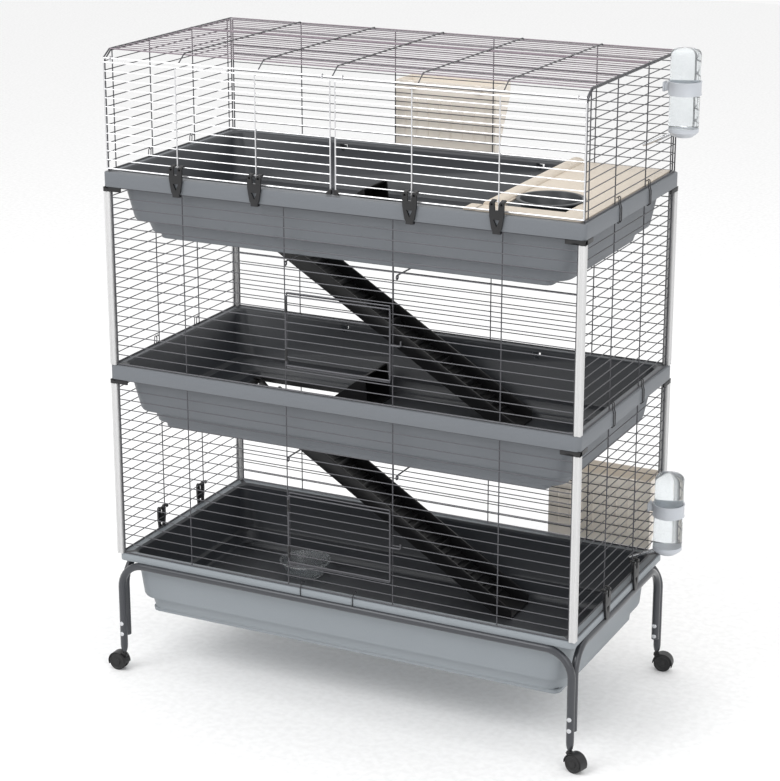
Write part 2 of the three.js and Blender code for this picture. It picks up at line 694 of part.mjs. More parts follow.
function ramp(name, footRim, headRim) {
  const footZ = footRim - TRAY_HEIGHT + FLOOR_THICKNESS + SEAT_GAP;
  const headFloor = headRim - TRAY_HEIGHT + FLOOR_THICKNESS;
  const slope = (headFloor - RAMP_HEAD_DROP - footZ) / (RAMP_FOOT_X - RAMP_HEAD_X);
  const lean = Math.atan(slope);
  const rise = RAMP_SIDE_HEIGHT / Math.cos(lean);
  const under = (x) => footZ + (RAMP_FOOT_X - x) * slope;
  const toe = RAMP_FOOT_X + RAMP_FOOT_LENGTH;
  // the head is cut square to the slope
  const cutX = RAMP_HEAD_X + RAMP_SIDE_HEIGHT * Math.sin(lean);
  const side = [
    [RAMP_FOOT_X, footZ], [toe, footZ], [toe, under(toe) + rise + 6], [cutX, under(cutX) + rise],
    [RAMP_HEAD_X, under(RAMP_HEAD_X)],
  ];
  const y0 = RAMP_NEAR_Y;
  const y1 = RAMP_NEAR_Y + RAMP_WIDTH;
  const low = 8; // the plate lies this far above the foot of the sides
  const high = low + RAMP_PLATE;
  const headX = RAMP_HEAD_X + 8;
  const plate = [
    [RAMP_FOOT_X, footZ], [toe, footZ], [toe, footZ + 5],
    [RAMP_FOOT_X - low, under(RAMP_FOOT_X) + high], [headX, under(headX) + high],
    [headX, under(headX) + low], [RAMP_FOOT_X - low, under(RAMP_FOOT_X - low) + 2],
  ];
  const pieces = [
    prismAlongY(side, y0, y0 + RAMP_SIDE_WALL),
    prismAlongY(side, y1 - RAMP_SIDE_WALL, y1),
    prismAlongY(plate, y0 + 1, y1 - 1),
  ];
  for (let i = 1; i <= RAMP_TREADS; i += 1) {
    const x = RAMP_FOOT_X - (RAMP_FOOT_X - RAMP_HEAD_X) * (i - 0.3) / RAMP_TREADS;
    const z = under(x) + low;
    pieces.push(prismAlongY([[x - 6, z + 1], [x + 7, z], [x + 4, z + 14]], y0 + 1, y1 - 1));
  }
  // two arms hook over the collar at the left edge of the passage above
  const hookZ = headFloor + COLLAR_THICKNESS + 2 * SEAT_GAP;
  const inside = PASSAGE_LEFT + COLLAR_WALL + 2;
  const outside = PASSAGE_LEFT - COLLAR_FLANGE - 4;
  const arm = [
    [cutX, under(cutX) + low + 1], [cutX, under(cutX) + high + 3], [inside + 4, hookZ + 4],
    [outside, hookZ + 4], [outside, hookZ], [inside, hookZ], [inside, hookZ - 16],
  ];
  for (const y of [y0 + 8, y1 - 18]) pieces.push(prismAlongY(arm, y, y + 10));
  place(name, geometryOf(join(pieces)), BLACK, 0.5, 0);
}

ramp('lower_ramp', BOTTOM_RIM_Z, MIDDLE_RIM_Z);
ramp('upper_ramp', MIDDLE_RIM_Z, TOP_RIM_Z);

// The collar lines the passage and carries a wedge-shaped guard at its right-hand end, which is
// a slanted plate between two cheeks.
function passageCollar(name, rimZ) {
  const floorZ = rimZ - TRAY_HEIGHT + FLOOR_THICKNESS + SEAT_GAP;
  const x0 = PASSAGE_LEFT + SEAT_GAP;
  const x1 = PASSAGE_RIGHT - SEAT_GAP;
  const y0 = PASSAGE_NEAR + SEAT_GAP;
  const y1 = PASSAGE_FAR - SEAT_GAP;
  const flange = block(x0 - COLLAR_FLANGE, GUARD_RIGHT + 4, y0 - COLLAR_FLANGE,
    y1 + COLLAR_FLANGE, floorZ, floorZ + COLLAR_THICKNESS);
  const lining = block(x0, x1, y0, y1, floorZ - FLOOR_THICKNESS - 5, floorZ + 1);
  const bore = block(x0 + COLLAR_WALL, x1 - COLLAR_WALL, y0 + COLLAR_WALL, y1 - COLLAR_WALL,
    floorZ - 20, floorZ + 20);
  const foot = floorZ + COLLAR_THICKNESS - 1;
  const tip = floorZ + GUARD_HEIGHT;
  const cheek = [[x1, foot], [GUARD_RIGHT, foot], [GUARD_RIGHT - 8, tip], [GUARD_RIGHT - 13, tip]];
  const slant = [[x1, foot], [x1 + 6, foot], [GUARD_RIGHT - 8, tip], [GUARD_RIGHT - 13, tip]];
  const guard = join([
    prismAlongY(cheek, y0, y0 + GUARD_WALL),
    prismAlongY(cheek, y1 - GUARD_WALL, y1),
    prismAlongY(slant, y0 + 1, y1 - 1),
  ]);
  place(name, geometryOf(flange.add(lining).subtract(bore).add(guard)), BLACK, 0.5, 0);
}

passageCollar('middle_passage_collar', MIDDLE_RIM_Z);
passageCollar('top_passage_collar', TOP_RIM_Z);

// ---------------------------------------------------------------------------------------------
// Support rods: two under each upper tray, their ends curled over the front panel's top wire.

function supportRod(name, x, rimZ) {
  const z1 = rimZ - TRAY_HEIGHT - SEAT_GAP;
  const z0 = z1 - FRAME_WIRE;
  const inner = PANEL_Y - FINE_WIRE / 2 - CROSS_WIRE - 2 * SEAT_GAP;
  const rod = block(x - FRAME_WIRE / 2, x + FRAME_WIRE / 2, -inner, inner, z0, z1);
  place(name, geometryOf(rod), DARK_WIRE, 0.4, 0.7);
}

for (const [tray, rimZ] of [['middle', MIDDLE_RIM_Z], ['top', TOP_RIM_Z]]) {
  supportRod(`${tray}_support_rod_left`, FRONT_UPRIGHTS[1], rimZ);
  supportRod(`${tray}_support_rod_right`, FRONT_UPRIGHTS[2] + 8, rimZ);
}

// ---------------------------------------------------------------------------------------------
// Stand: four bent tubes. The long ones carry the front and back, the short ones the ends.

const TUBE_FLAT = TUBE_RADIUS * Math.cos(Math.PI / TUBE_SIDES);
const STAND_BAR_Z = BOTTOM_RIM_Z - BOTTOM_RIM_SKIRT - SEAT_GAP - TUBE_FLAT;
const LEG_X = BOTTOM_TRAY_LENGTH / 2 - 3;
const LONG_BAR_Y = BOTTOM_TRAY_DEPTH / 2 - 2;
const SHORT_LEG_Y = LONG_BAR_Y - 2 * TUBE_FLAT - SEAT_GAP;

function bentTube(points, radius, bend) {
  const path = new THREE.CurvePath();
  const corner = (p, q, r) => {
    const a = q.clone().lerp(p, bend / q.distanceTo(p));
    const b = q.clone().lerp(r, bend / q.distanceTo(r));
    return [a, q, b];
  };
  const [p0, p1, p2, p3] = points;
  const first = corner(p0, p1, p2);
  const second = corner(p1, p2, p3);
  path.add(new THREE.LineCurve3(p0, first[0]));
  path.add(new THREE.QuadraticBezierCurve3(...first));
  path.add(new THREE.LineCurve3(first[2], second[0]));
  path.add(new THREE.QuadraticBezierCurve3(...second));
  path.add(new THREE.LineCurve3(second[2], p3));
  return tubeAlong(path, radius);
}

// A closed tube with a section at each end, and several round each bend.
function tubeAlong(path, radius) {
  const samples = [];
  path.curves.forEach((curve, k) => {
    const steps = curve.isLineCurve3 ? 1 : 5;
    for (let i = k === 0 ? 0 : 1; i <= steps; i += 1) {
      samples.push({ at: curve.getPoint(i / steps), along: curve.getTangent(i / steps) });
    }
  });
  const side = new THREE.Vector3().crossVectors(samples[0].along, samples[4].along).normalize();
  const rings = samples.map(({ at, along }) => {
    const up = new THREE.Vector3().crossVectors(along, side).normalize();
    return Array.from({ length: TUBE_SIDES }, (_, i) => {
      const angle = (i + 0.5) / TUBE_SIDES * 2 * Math.PI;
      return at.clone().addScaledVector(side, radius * Math.cos(angle))
        .addScaledVector(up, radius * Math.sin(angle));
    });
  });
  return ringsToTube(rings);
}

function ringsToTube(rings) {
  const count = rings[0].length;
  const positions = rings.flat().flatMap((p) => [p.x, p.y, p.z]);
  const index = [];
  for (let k = 0; k + 1 < rings.length; k += 1) {
    for (let i = 0; i < count; i += 1) {
      const a = k * count + i;
      const b = k * count + (i + 1) % count;
      index.push(a, b, b + count, a, b + count, a + count);
    }
  }
  const last = (rings.length - 1) * count;
  for (let i = 1; i + 1 < count; i += 1) {
    index.push(0, i + 1, i);
    index.push(last, last + i, last + i + 1);
  }
  const geometry = new THREE.BufferGeometry();
  geometry.setAttribute('position', new THREE.Float32BufferAttribute(positions, 3));
  geometry.setIndex(index);
  geometry.computeVertexNormals();
  return geometry;
}

function longTube(name, y) {
  const tube = bentTube([
    new THREE.Vector3(-LEG_X, y, LEG_FOOT_Z), new THREE.Vector3(-LEG_X, y, STAND_BAR_Z),
    new THREE.Vector3(LEG_X, y, STAND_BAR_Z), new THREE.Vector3(LEG_X, y, LEG_FOOT_Z),
  ], TUBE_RADIUS, LEG_BEND);
  place(name, tube, CHARCOAL, 0.35, 0.3);
}

function shortTube(name, x) {
  const tube = bentTube([
    new THREE.Vector3(x, -SHORT_LEG_Y, SHORT_LEG_FOOT_Z),
    new THREE.Vector3(x, -SHORT_LEG_Y, STAND_BAR_Z),
    new THREE.Vector3(x, SHORT_LEG_Y, STAND_BAR_Z),
    new THREE.Vector3(x, SHORT_LEG_Y, SHORT_LEG_FOOT_Z),
  ], TUBE_RADIUS, LEG_BEND);
  place(name, tube, CHARCOAL, 0.35, 0.3);
}

longTube('stand_front_tube', -LONG_BAR_Y);
longTube('stand_back_tube', LONG_BAR_Y);
shortTube('stand_left_tube', -LEG_X);
shortTube('stand_right_tube', LEG_X);

// ---------------------------------------------------------------------------------------------
// Casters: a hooded fork that swivels on a stem under the leg, and a wheel on an axle.

const WHEEL_FLAT = WHEEL_RADIUS * Math.cos(Math.PI / WHEEL_SIDES); // half its height on a facet

// Two discs on one hub; the wheel stands on a facet, so each caster rests on a flat face.
function casterWheel() {
  const [r, a, b] = [WHEEL_RADIUS, DISC_INNER, DISC_OUTER];
  const wheel = turned([
    [0, -b], [r - 2, -b], [r, -b + 2], [r, -a], [HUB_RADIUS, -a], [HUB_RADIUS, a], [r, a],
    [r, b - 2], [r - 2, b], [0, b],
  ], WHEEL_SIDES);
  wheel.rotateX(Math.PI / 2);
  wheel.rotateY(Math.PI / WHEEL_SIDES);
  return moved(wheel, CASTER_TRAIL, 0, WHEEL_FLAT);
}

// The body between the discs, its hood over them, and the stem into the leg.
function casterBody() {
  const top = LEG_FOOT_Z - SEAT_GAP;
  const outer = WHEEL_RADIUS + HOOD_CLEARANCE + HOOD_WALL;
  const side = DISC_OUTER;
  const drum = (radius, y) => {
    const geometry = new THREE.CylinderGeometry(radius, radius, 2 * y, WHEEL_SIDES);
    geometry.rotateY(Math.PI / WHEEL_SIDES);
    return solid(moved(geometry, CASTER_TRAIL, 0, WHEEL_FLAT));
  };
  const web = drum(WHEEL_RADIUS - 3, DISC_INNER - 0.5);
  const hood = drum(outer, side).subtract(drum(WHEEL_RADIUS + HOOD_CLEARANCE, side + 1))
    .subtract(prismAlongY([[-60, -60], [60, -60], [60, 30], [-60, 8]], -side - 1, side + 1));
  const brace = drum(outer - 1, DISC_INNER - 0.5)
    .subtract(prismAlongY([[-60, -60], [60, -60], [60, 30], [-60, 8]], -side - 1, side + 1));
  const stem = solid(turned([[0, 30], [STEM_RADIUS + 2, 30], [STEM_RADIUS + 2, top - 4],
    [STEM_RADIUS, top - 3], [STEM_RADIUS, top], [0, top]], 10));
  const clear = drum(WHEEL_RADIUS + HOOD_CLEARANCE, side + 1)
    .subtract(block(-80, 80, -DISC_INNER + 0.5, DISC_INNER - 0.5, -80, 80));
  return hood.add(brace).add(stem).add(web).subtract(clear).subtract(drum(HUB_RADIUS + 0.4, 10));
}

function caster(corner, sx, sy, heading) {
  const turn = heading * Math.PI / 180;
  const at = (geometry) => moved(geometry.rotateZ(turn), sx * LEG_X, sy * LONG_BAR_Y, 0);
  place(`caster_fork_${corner}`, at(geometryOf(casterBody())), BLACK, 0.4, 0);
  place(`caster_wheel_${corner}`, at(geometryOf(solid(casterWheel()))), BLACK, 0.6, 0);
}

// each heading is the way the caster trails, in degrees from +X
for (const [corner, sx, sy, heading] of [
  ['front_left', -1, -1, 180], ['front_right', 1, -1, -16], ['back_left', -1, 1, 168],
  ['back_right', 1, 1, 8],
]) {
  caster(corner, sx, sy, heading);
}

// ---------------------------------------------------------------------------------------------
// Water bottles: the bottle hangs neck down in a clamp ring hooked on the right-hand panel.

function bottle(level, footZ) {
  const x = TRAY_LENGTH / 2 + BOTTLE_RADIUS + 8;
  const top = footZ + BOTTLE_LENGTH;
  const profile = [
    [0, footZ], [20, footZ], [BOTTLE_RADIUS, footZ + 12], [BOTTLE_RADIUS, top - 10],
    [BOTTLE_RADIUS - 9, top], [0, top],
  ];
  const body = solid(moved(turned(profile, 16), x, BOTTLE_Y, 0));
  const slope = SPOUT_SLOPE * Math.PI / 180;
  const spout = new THREE.CylinderGeometry(SPOUT_RADIUS, SPOUT_RADIUS, SPOUT_LENGTH, 8);
  spout.translate(0, SPOUT_LENGTH / 2, 0);
  spout.rotateX(Math.PI / 2);
  spout.rotateY(-Math.PI / 2 - slope);
  const tube = solid(moved(spout, x - 8, BOTTLE_Y, footZ + 14));
  place(`${level}_bottle`, geometryOf(body.add(tube)), CLEAR, 0.1, 0);
  const ringZ = footZ + RING_DROP;
  const inner = BOTTLE_RADIUS + SEAT_GAP;
  const outer = inner + RING_WALL;
  const ring = turned([
    [inner, ringZ], [outer, ringZ], [outer, ringZ + RING_HEIGHT], [inner, ringZ + RING_HEIGHT],
    [inner, ringZ],
  ], 16);
  const armEnd = TRAY_LENGTH / 2 - PANEL_INSET + FRAME_WIRE / 2 + SEAT_GAP;
  const arm = block(armEnd, x - outer + 2, BOTTLE_Y - 12, BOTTLE_Y + 12, ringZ + 4,
    ringZ + RING_HEIGHT - 4);
  place(`${level}_bottle_clamp`, geometryOf(solid(moved(ring, x, BOTTLE_Y, 0)).add(arm)),
    CLAMP_GREY, 0.4, 0);
}

bottle('upper', TOP_RIM_Z + 103);
bottle('lower', BOTTOM_RIM_Z + 45);

// ---------------------------------------------------------------------------------------------
// Shelf at the right-hand end of the top tray, with a recess for the food bowl.

const SHELF_TOP = TOP_RIM_Z + SEAT_GAP + SHELF_THICKNESS;
const RIDGE_WIDTH = 36;
const RIDGE_RISE = 10;

function shelf() {
  const z0 = TOP_RIM_Z + SEAT_GAP;
  const right = PANEL_X - 6;
  const half = PANEL_Y - 7;
  const pieces = [
    block(SHELF_LEFT, right, -half, half, z0, SHELF_TOP),
    block(SHELF_LEFT - SHELF_TAB, SHELF_LEFT + 1, -half, -half + 50, z0, SHELF_TOP),
  ];
  const ridge = [];
  for (let i = 0; i <= 8; i += 1) {
    const angle = Math.PI * i / 8;
    ridge.push([SHELF_LEFT + RIDGE_WIDTH / 2 * (1 + Math.cos(angle)),
      SHELF_TOP - 1 + RIDGE_RISE * Math.sin(angle)]);
  }
  pieces.push(prismAlongY(ridge, -half + 50, half));
  const opening = FOOD_BOWL_RADIUS + 1;
  const recess = solid(moved(turned([[0, -20], [opening, -20], [opening, 20], [0, 20]], 20),
    FOOD_BOWL_X, FOOD_BOWL_Y, SHELF_TOP));
  const front = block(FOOD_BOWL_X - opening, FOOD_BOWL_X + opening, FOOD_BOWL_Y - 98, FOOD_BOWL_Y,
    SHELF_TOP - 20, SHELF_TOP + 20);
  const plate = join(pieces).subtract(recess).subtract(front);
  place('shelf', geometryOf(plate), BEIGE, 0.5, 0);
}

function bowl(name, x, y, rimZ, radius, height, wall, lip, colour, roughness) {
  const profile = [
    [0, rimZ - height], [radius * 0.78, rimZ - height], [radius - wall, rimZ - 6],
    [radius - wall, rimZ - 3], [radius + lip, rimZ - 3], [radius + lip, rimZ],
    [radius - 2 * wall, rimZ], [radius * 0.78 - wall, rimZ - height + wall],
    [0, rimZ - height + wall],
  ];
  const geometry = moved(turned(profile, 20), x, y, 0);
  place(name, geometryOf(solid(geometry)), colour, roughness, 0);
}

shelf();
bowl('food_bowl', FOOD_BOWL_X, FOOD_BOWL_Y, SHELF_TOP + 3 + SEAT_GAP, FOOD_BOWL_RADIUS,
  FOOD_BOWL_HEIGHT, 3, 4, CHARCOAL, 0.4);
const LOWER_FLOOR = BOTTOM_RIM_Z - TRAY_HEIGHT + FLOOR_THICKNESS;
bowl('clear_bowl', CLEAR_BOWL_X, CLEAR_BOWL_Y, LOWER_FLOOR + SEAT_GAP + CLEAR_BOWL_HEIGHT,
  CLEAR_BOWL_RADIUS, CLEAR_BOWL_HEIGHT, 3, 2, CLEAR, 0.08);

// ---------------------------------------------------------------------------------------------
// Hay racks: open-topped wedges hung outside the back panels.

function hayRack(name, x, topZ) {
  const panelBack = PANEL_Y + FRAME_WIRE / 2 + SEAT_GAP;
  const y0 = TRAY_DEPTH / 2 + 1;
  const y1 = y0 + RACK_DEPTH;
  const z0 = topZ - RACK_HEIGHT;
  const left = x - RACK_WIDTH / 2;
  const right = x + RACK_WIDTH / 2;
  const w = RACK_WALL;
  const outer = [[y0, z0], [y0 + 16, z0], [y1, topZ - 30], [y1, topZ], [y0, topZ]];
  const inner = [[y0 + w, z0 + w], [y0 + 15, z0 + w], [y1 - w, topZ - 29], [y1 - w, topZ + 1],
    [y0 + w, topZ + 1]];
  let shell = prismAlongX(outer, left, right).subtract(prismAlongX(inner, left + w, right - w));
  for (const hookX of [x - RACK_WIDTH / 3, x + RACK_WIDTH / 3]) {
    shell = shell.add(block(hookX - 8, hookX + 8, panelBack, y0 + 1, topZ - 20, topZ));
  }
  place(name, geometryOf(shell), BEIGE, 0.55, 0);
}

hayRack('upper_hay_rack', TOP_RACK_X, TOP_RIM_Z + 158);
hayRack('lower_hay_rack', LOWER_RACK_X, BOTTOM_RIM_Z + 172);

// The frame's origin is on the floor, under the middle of everything, bottles and racks included.
const reach = new THREE.Box3().setFromObject(cage);
const middle = reach.getCenter(new THREE.Vector3());
cage.position.set(-middle.x, -middle.y, -reach.min.z);

export default cage;
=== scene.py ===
# %% [markdown]
# # A three-level ferret cage on wheels
# The cage is a stack of three plastic trays with wire walls between them, on a bent tube stand.
# The CAD model already has every piece in its place. It is made of flat facets and square
# wires, so this lesson rebuilds its visible pieces with round wires, moulded plastic and glassy
# bottles, each one in the place of the CAD piece that it stands for.
# The first cell loads the CAD model, which is the fixed frame that every piece is built in.

# %% Load the frame
import json
import math

import bmesh
import bpy
from mathutils import Matrix, Vector

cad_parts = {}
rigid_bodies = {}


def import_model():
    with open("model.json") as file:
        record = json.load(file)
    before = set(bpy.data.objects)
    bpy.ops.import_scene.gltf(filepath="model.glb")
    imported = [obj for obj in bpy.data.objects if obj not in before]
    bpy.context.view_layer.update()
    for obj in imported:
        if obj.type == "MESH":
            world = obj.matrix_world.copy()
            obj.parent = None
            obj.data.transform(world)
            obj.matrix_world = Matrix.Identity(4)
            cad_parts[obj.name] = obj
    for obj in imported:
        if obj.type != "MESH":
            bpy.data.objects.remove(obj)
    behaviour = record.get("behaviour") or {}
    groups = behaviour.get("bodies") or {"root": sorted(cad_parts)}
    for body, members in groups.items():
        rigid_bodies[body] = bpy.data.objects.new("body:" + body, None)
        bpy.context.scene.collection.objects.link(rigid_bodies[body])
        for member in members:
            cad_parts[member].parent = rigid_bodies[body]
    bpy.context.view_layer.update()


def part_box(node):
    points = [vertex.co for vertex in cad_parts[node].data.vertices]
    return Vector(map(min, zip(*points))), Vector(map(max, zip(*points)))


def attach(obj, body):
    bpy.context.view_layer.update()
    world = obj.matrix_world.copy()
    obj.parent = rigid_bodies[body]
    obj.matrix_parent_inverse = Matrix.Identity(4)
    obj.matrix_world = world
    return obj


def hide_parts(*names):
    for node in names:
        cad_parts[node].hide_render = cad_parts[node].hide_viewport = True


for leftover in list(bpy.data.objects):  # the cube, camera and light of an empty Blender file
    bpy.data.objects.remove(leftover)
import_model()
tray_low, tray_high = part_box("top_tray")
centre = (tray_low + tray_high) / 2


def at(x, y, z):
    """A place in metres, from millimetres across, back and up from the middle of the cage."""
    return Vector((centre.x + x / 1000, centre.y + y / 1000, z / 1000))


# %% [markdown]
# ## Handing a piece over
# Every piece ends the same way: its meshes are joined, given their finishes, smoothed except at
# sharp edges, and tied to the body that it moves with. One helper does this for all of them, so
# no piece can be left without a body or a finish. Modifiers are turned into plain meshes first,
# because the model is used outside Blender, where modifiers don't exist.

# %% Helpers that every piece uses
def plain(holder):
    """Applies an object's modifiers and gives back its mesh without the object."""
    bpy.context.view_layer.update()
    seen = bpy.context.evaluated_depsgraph_get()
    mesh = bpy.data.meshes.new_from_object(holder.evaluated_get(seen), depsgraph=seen)
    bpy.data.objects.remove(holder)
    return mesh


def held(mesh):
    """Puts a mesh in an object for a while, so that modifiers can work on it."""
    holder = bpy.data.objects.new("held", mesh)
    bpy.context.scene.collection.objects.link(holder)
    return holder


def shaped(form, edge=0.0, steps=2, cutters=()):
    """Makes a mesh of a drawn form, cuts the cutters out of it and rounds its edges (in mm)."""
    bmesh.ops.remove_doubles(form, verts=form.verts, dist=1e-6)
    bmesh.ops.recalc_face_normals(form, faces=form.faces)
    mesh = bpy.data.meshes.new("form")
    form.to_mesh(mesh)
    form.free()
    holder = held(mesh)
    tools = [held(cutter) for cutter in cutters]
    for tool in tools:
        cut = holder.modifiers.new("cut", "BOOLEAN")
        cut.operation, cut.solver, cut.object = "DIFFERENCE", "EXACT", tool
    if edge:
        round_over = holder.modifiers.new("round_over", "BEVEL")
        round_over.width, round_over.segments = edge / 1000, steps
        round_over.limit_method, round_over.angle_limit = "ANGLE", math.radians(35)
        round_over.harden_normals = False
    result = plain(holder)
    for tool in tools:
        bpy.data.objects.remove(tool)
    return result


def of_one(finish, *meshes):
    """Pairs each of the meshes with the one finish."""
    return [(mesh, finish) for mesh in meshes]


def publish(name, parts, body, replaces=(), smooth=32):
    """Joins (mesh, finish) pairs in one named piece that rides on a body."""
    whole, finishes = bmesh.new(), []
    for mesh, finish in parts:
        if finish not in finishes:
            finishes.append(finish)
        made = len(whole.faces)
        whole.from_mesh(mesh)
        whole.faces.ensure_lookup_table()
        for face in whole.faces[made:]:
            face.material_index = finishes.index(finish)
        bpy.data.meshes.remove(mesh)
    data = bpy.data.meshes.new(name)
    whole.to_mesh(data)
    whole.free()
    for finish in finishes:
        data.materials.append(finish)
    data.shade_smooth()
    data.set_sharp_from_angle(angle=math.radians(smooth))
    thing = bpy.data.objects.new(name, data)
    bpy.context.scene.collection.objects.link(thing)
    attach(thing, body)
    if replaces:
        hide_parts(*replaces)
    print(f"{name}: {len(data.polygons)} faces on {body}")
    return thing


# %% [markdown]
# ## Drawing simple forms
# Most moulded pieces are a row of outlines joined by walls: a loft. A box, a prism and a turned
# form are special cases of it, so five small helpers draw nearly everything. They add to a bmesh,
# Blender's editable mesh, and the edges are rounded later by a Bevel modifier, as a mould does.

# %% Helpers that draw forms
def add_rings(form, rings, close=False):
    """Joins rings of points (in metres) with walls, then caps the ends or closes the loop."""
    rows = [[form.verts.new(p) for p in ring] for ring in rings]
    pairs = list(zip(rows, rows[1:])) + ([(rows[-1], rows[0])] if close else [])
    for low, high in pairs:
        for i in range(len(low)):
            j = (i + 1) % len(low)
            form.faces.new((low[i], low[j], high[j], high[i]))
    if not close:
        form.faces.new(rows[0])
        form.faces.new(rows[-1])


def add_box(form, x0, x1, y0, y1, z0, z1):
    corners = ((x0, y0), (x1, y0), (x1, y1), (x0, y1))
    add_rings(form, [[at(x, y, z) for x, y in corners] for z in (z0, z1)])


def add_prism(form, outline, y0, y1):
    """An outline of (x, z) points, carried from y0 to y1."""
    add_rings(form, [[at(x, y, z) for x, z in outline] for y in (y0, y1)])


def add_slab(form, x, y, outline, heights):
    """A flat outline round (x, y), carried up through the heights."""
    add_rings(form, [[at(x + dx, y + dy, z) for dx, dy in outline] for z in heights])


UPRIGHT = Matrix.Identity(3)
TO_FRONT = Matrix.Rotation(math.radians(90), 3, "X")
TO_BACK = Matrix.Rotation(math.radians(-90), 3, "X")


def add_turned(form, profile, where, turn=UPRIGHT, sides=32, close=True):
    """Turns (radius, height) points, in mm, round an axis that points the way turn says."""
    angles = [2 * math.pi * i / sides for i in range(sides)]
    add_rings(form, [[where + turn @ Vector((r * math.cos(a), r * math.sin(a), height)) / 1000
                      for a in angles] for r, height in profile], close)


def rounded_outline(length, depth, radius, steps=6):
    """The (x, y) points of a rectangle with round corners, in mm."""
    points = []
    for k, (sx, sy) in enumerate(((1, 1), (-1, 1), (-1, -1), (1, -1))):
        for i in range(steps + 1):
            a = math.radians(90 * k + 90 * i / steps)
            points.append((sx * (length / 2 - radius) + radius * math.cos(a),
                           sy * (depth / 2 - radius) + radius * math.sin(a)))
    return points


def bent(points, bend, steps=5):
    """The same path with each corner rounded to a radius (mm)."""
    path = [points[0]]
    for before, corner, after in zip(points, points[1:], points[2:]):
        a, b = (before - corner), (after - corner)
        angle = a.angle(b)
        if angle > math.radians(175):
            path.append(corner)
            continue
        reach = min(bend / 1000 / math.tan(angle / 2), a.length * 0.49, b.length * 0.49)
        radius = reach * math.tan(angle / 2)
        a.normalize()
        b.normalize()
        middle = corner + (a + b).normalized() * (radius / math.sin(angle / 2))
        start, end = corner + a * reach - middle, corner + b * reach - middle
        start.normalize()
        end.normalize()
        path += [middle + start.slerp(end, i / steps) * radius for i in range(steps + 1)]
    return path + [points[-1]]


print("helpers ready; a bent path has", len(bent([at(0, 0, 0), at(9, 0, 0), at(9, 9, 0)], 3)),
      "points")

# %% [markdown]
# ## Finishes
# Moulded plastic is never one flat colour: it has a fine grain from the mould, faint cloudy
# shades, and dust that settles where it faces up. These effects are node groups, built once and
# placed in each material with their own values. They read Object coordinates, so the pattern
# stays on the piece, and they only put out colours, masks and heights that change over the
# surface. The numbers that are the same everywhere are set on the Principled BSDF itself.

# %% The shared shader groups
def new_group(name, inputs, outputs):
    """A shader node group with (name, kind, value) inputs and (name, kind) outputs."""
    group = bpy.data.node_groups.new(name, "ShaderNodeTree")
    for label, kind, value in inputs:
        socket = group.interface.new_socket(label, in_out="INPUT", socket_type="NodeSocket" + kind)
        if value is not None:
            socket.default_value = value
    for label, kind in outputs:
        group.interface.new_socket(label, in_out="OUTPUT", socket_type="NodeSocket" + kind)
    return group, group.nodes.new("NodeGroupInput"), group.nodes.new("NodeGroupOutput")


def add(tree, kind, links=(), **settings):
    """Adds a node, sets its properties and links (socket, value or output) pairs to it."""
    node = tree.nodes.new(kind)
    for key, value in settings.items():
        setattr(node, key, value)
    for key, value in links:
        if isinstance(value, bpy.types.NodeSocket):
            tree.links.new(value, node.inputs[key])
        else:
            node.inputs[key].default_value = value
    return node


def mixed(tree, factor, a, b, blend="MIX"):
    """A colour mix; colours sit on sockets 6 and 7 of Blender's Mix node."""
    node = add(tree, "ShaderNodeMix", [(0, factor), (6, a), (7, b)], data_type="RGBA",
               blend_type=blend)
    return node.outputs[2]


def make_moulded_group():
    group, given, out = new_group("moulded_grain", [
        ("Vector", "Vector", None), ("Colour", "Color", (0.5, 0.5, 0.5, 1)),
        ("Shade", "Float", 0.08), ("Grain", "Float", 900), ("Rough", "Float", 0.5),
    ], [("Colour", "Color"), ("Roughness", "Float"), ("Height", "Float")])
    where = given.outputs["Vector"]
    cloud = add(group, "ShaderNodeTexNoise", [("Vector", where), ("Scale", 7.0), ("Detail", 4.0)])
    grain = add(group, "ShaderNodeTexNoise", [("Vector", where), ("Scale", given.outputs["Grain"]),
                                              ("Detail", 2.0)])
    dark = add(group, "ShaderNodeMath", [(0, 1.0), (1, given.outputs["Shade"])],
               operation="SUBTRACT")
    deeper = add(group, "ShaderNodeVectorMath", [(0, given.outputs["Colour"]), ("Scale",
                 dark.outputs[0])], operation="SCALE")
    lively = mixed(group, cloud.outputs["Fac"], deeper.outputs[0], given.outputs["Colour"])
    speck = add(group, "ShaderNodeMapRange", [(0, grain.outputs["Fac"]), (1, 0.35), (2, 0.65),
                                              (3, 0.96), (4, 1.03)])
    fleck = add(group, "ShaderNodeVectorMath", [(0, lively), ("Scale", speck.outputs[0])],
                operation="SCALE")
    rough = add(group, "ShaderNodeMath", [(0, cloud.outputs["Fac"]), (1, 0.14),
                                          (2, given.outputs["Rough"])], operation="MULTIPLY_ADD")
    for source, label in ((fleck.outputs[0], "Colour"), (rough.outputs[0], "Roughness"),
                          (grain.outputs["Fac"], "Height")):
        group.links.new(source, out.inputs[label])
    return group


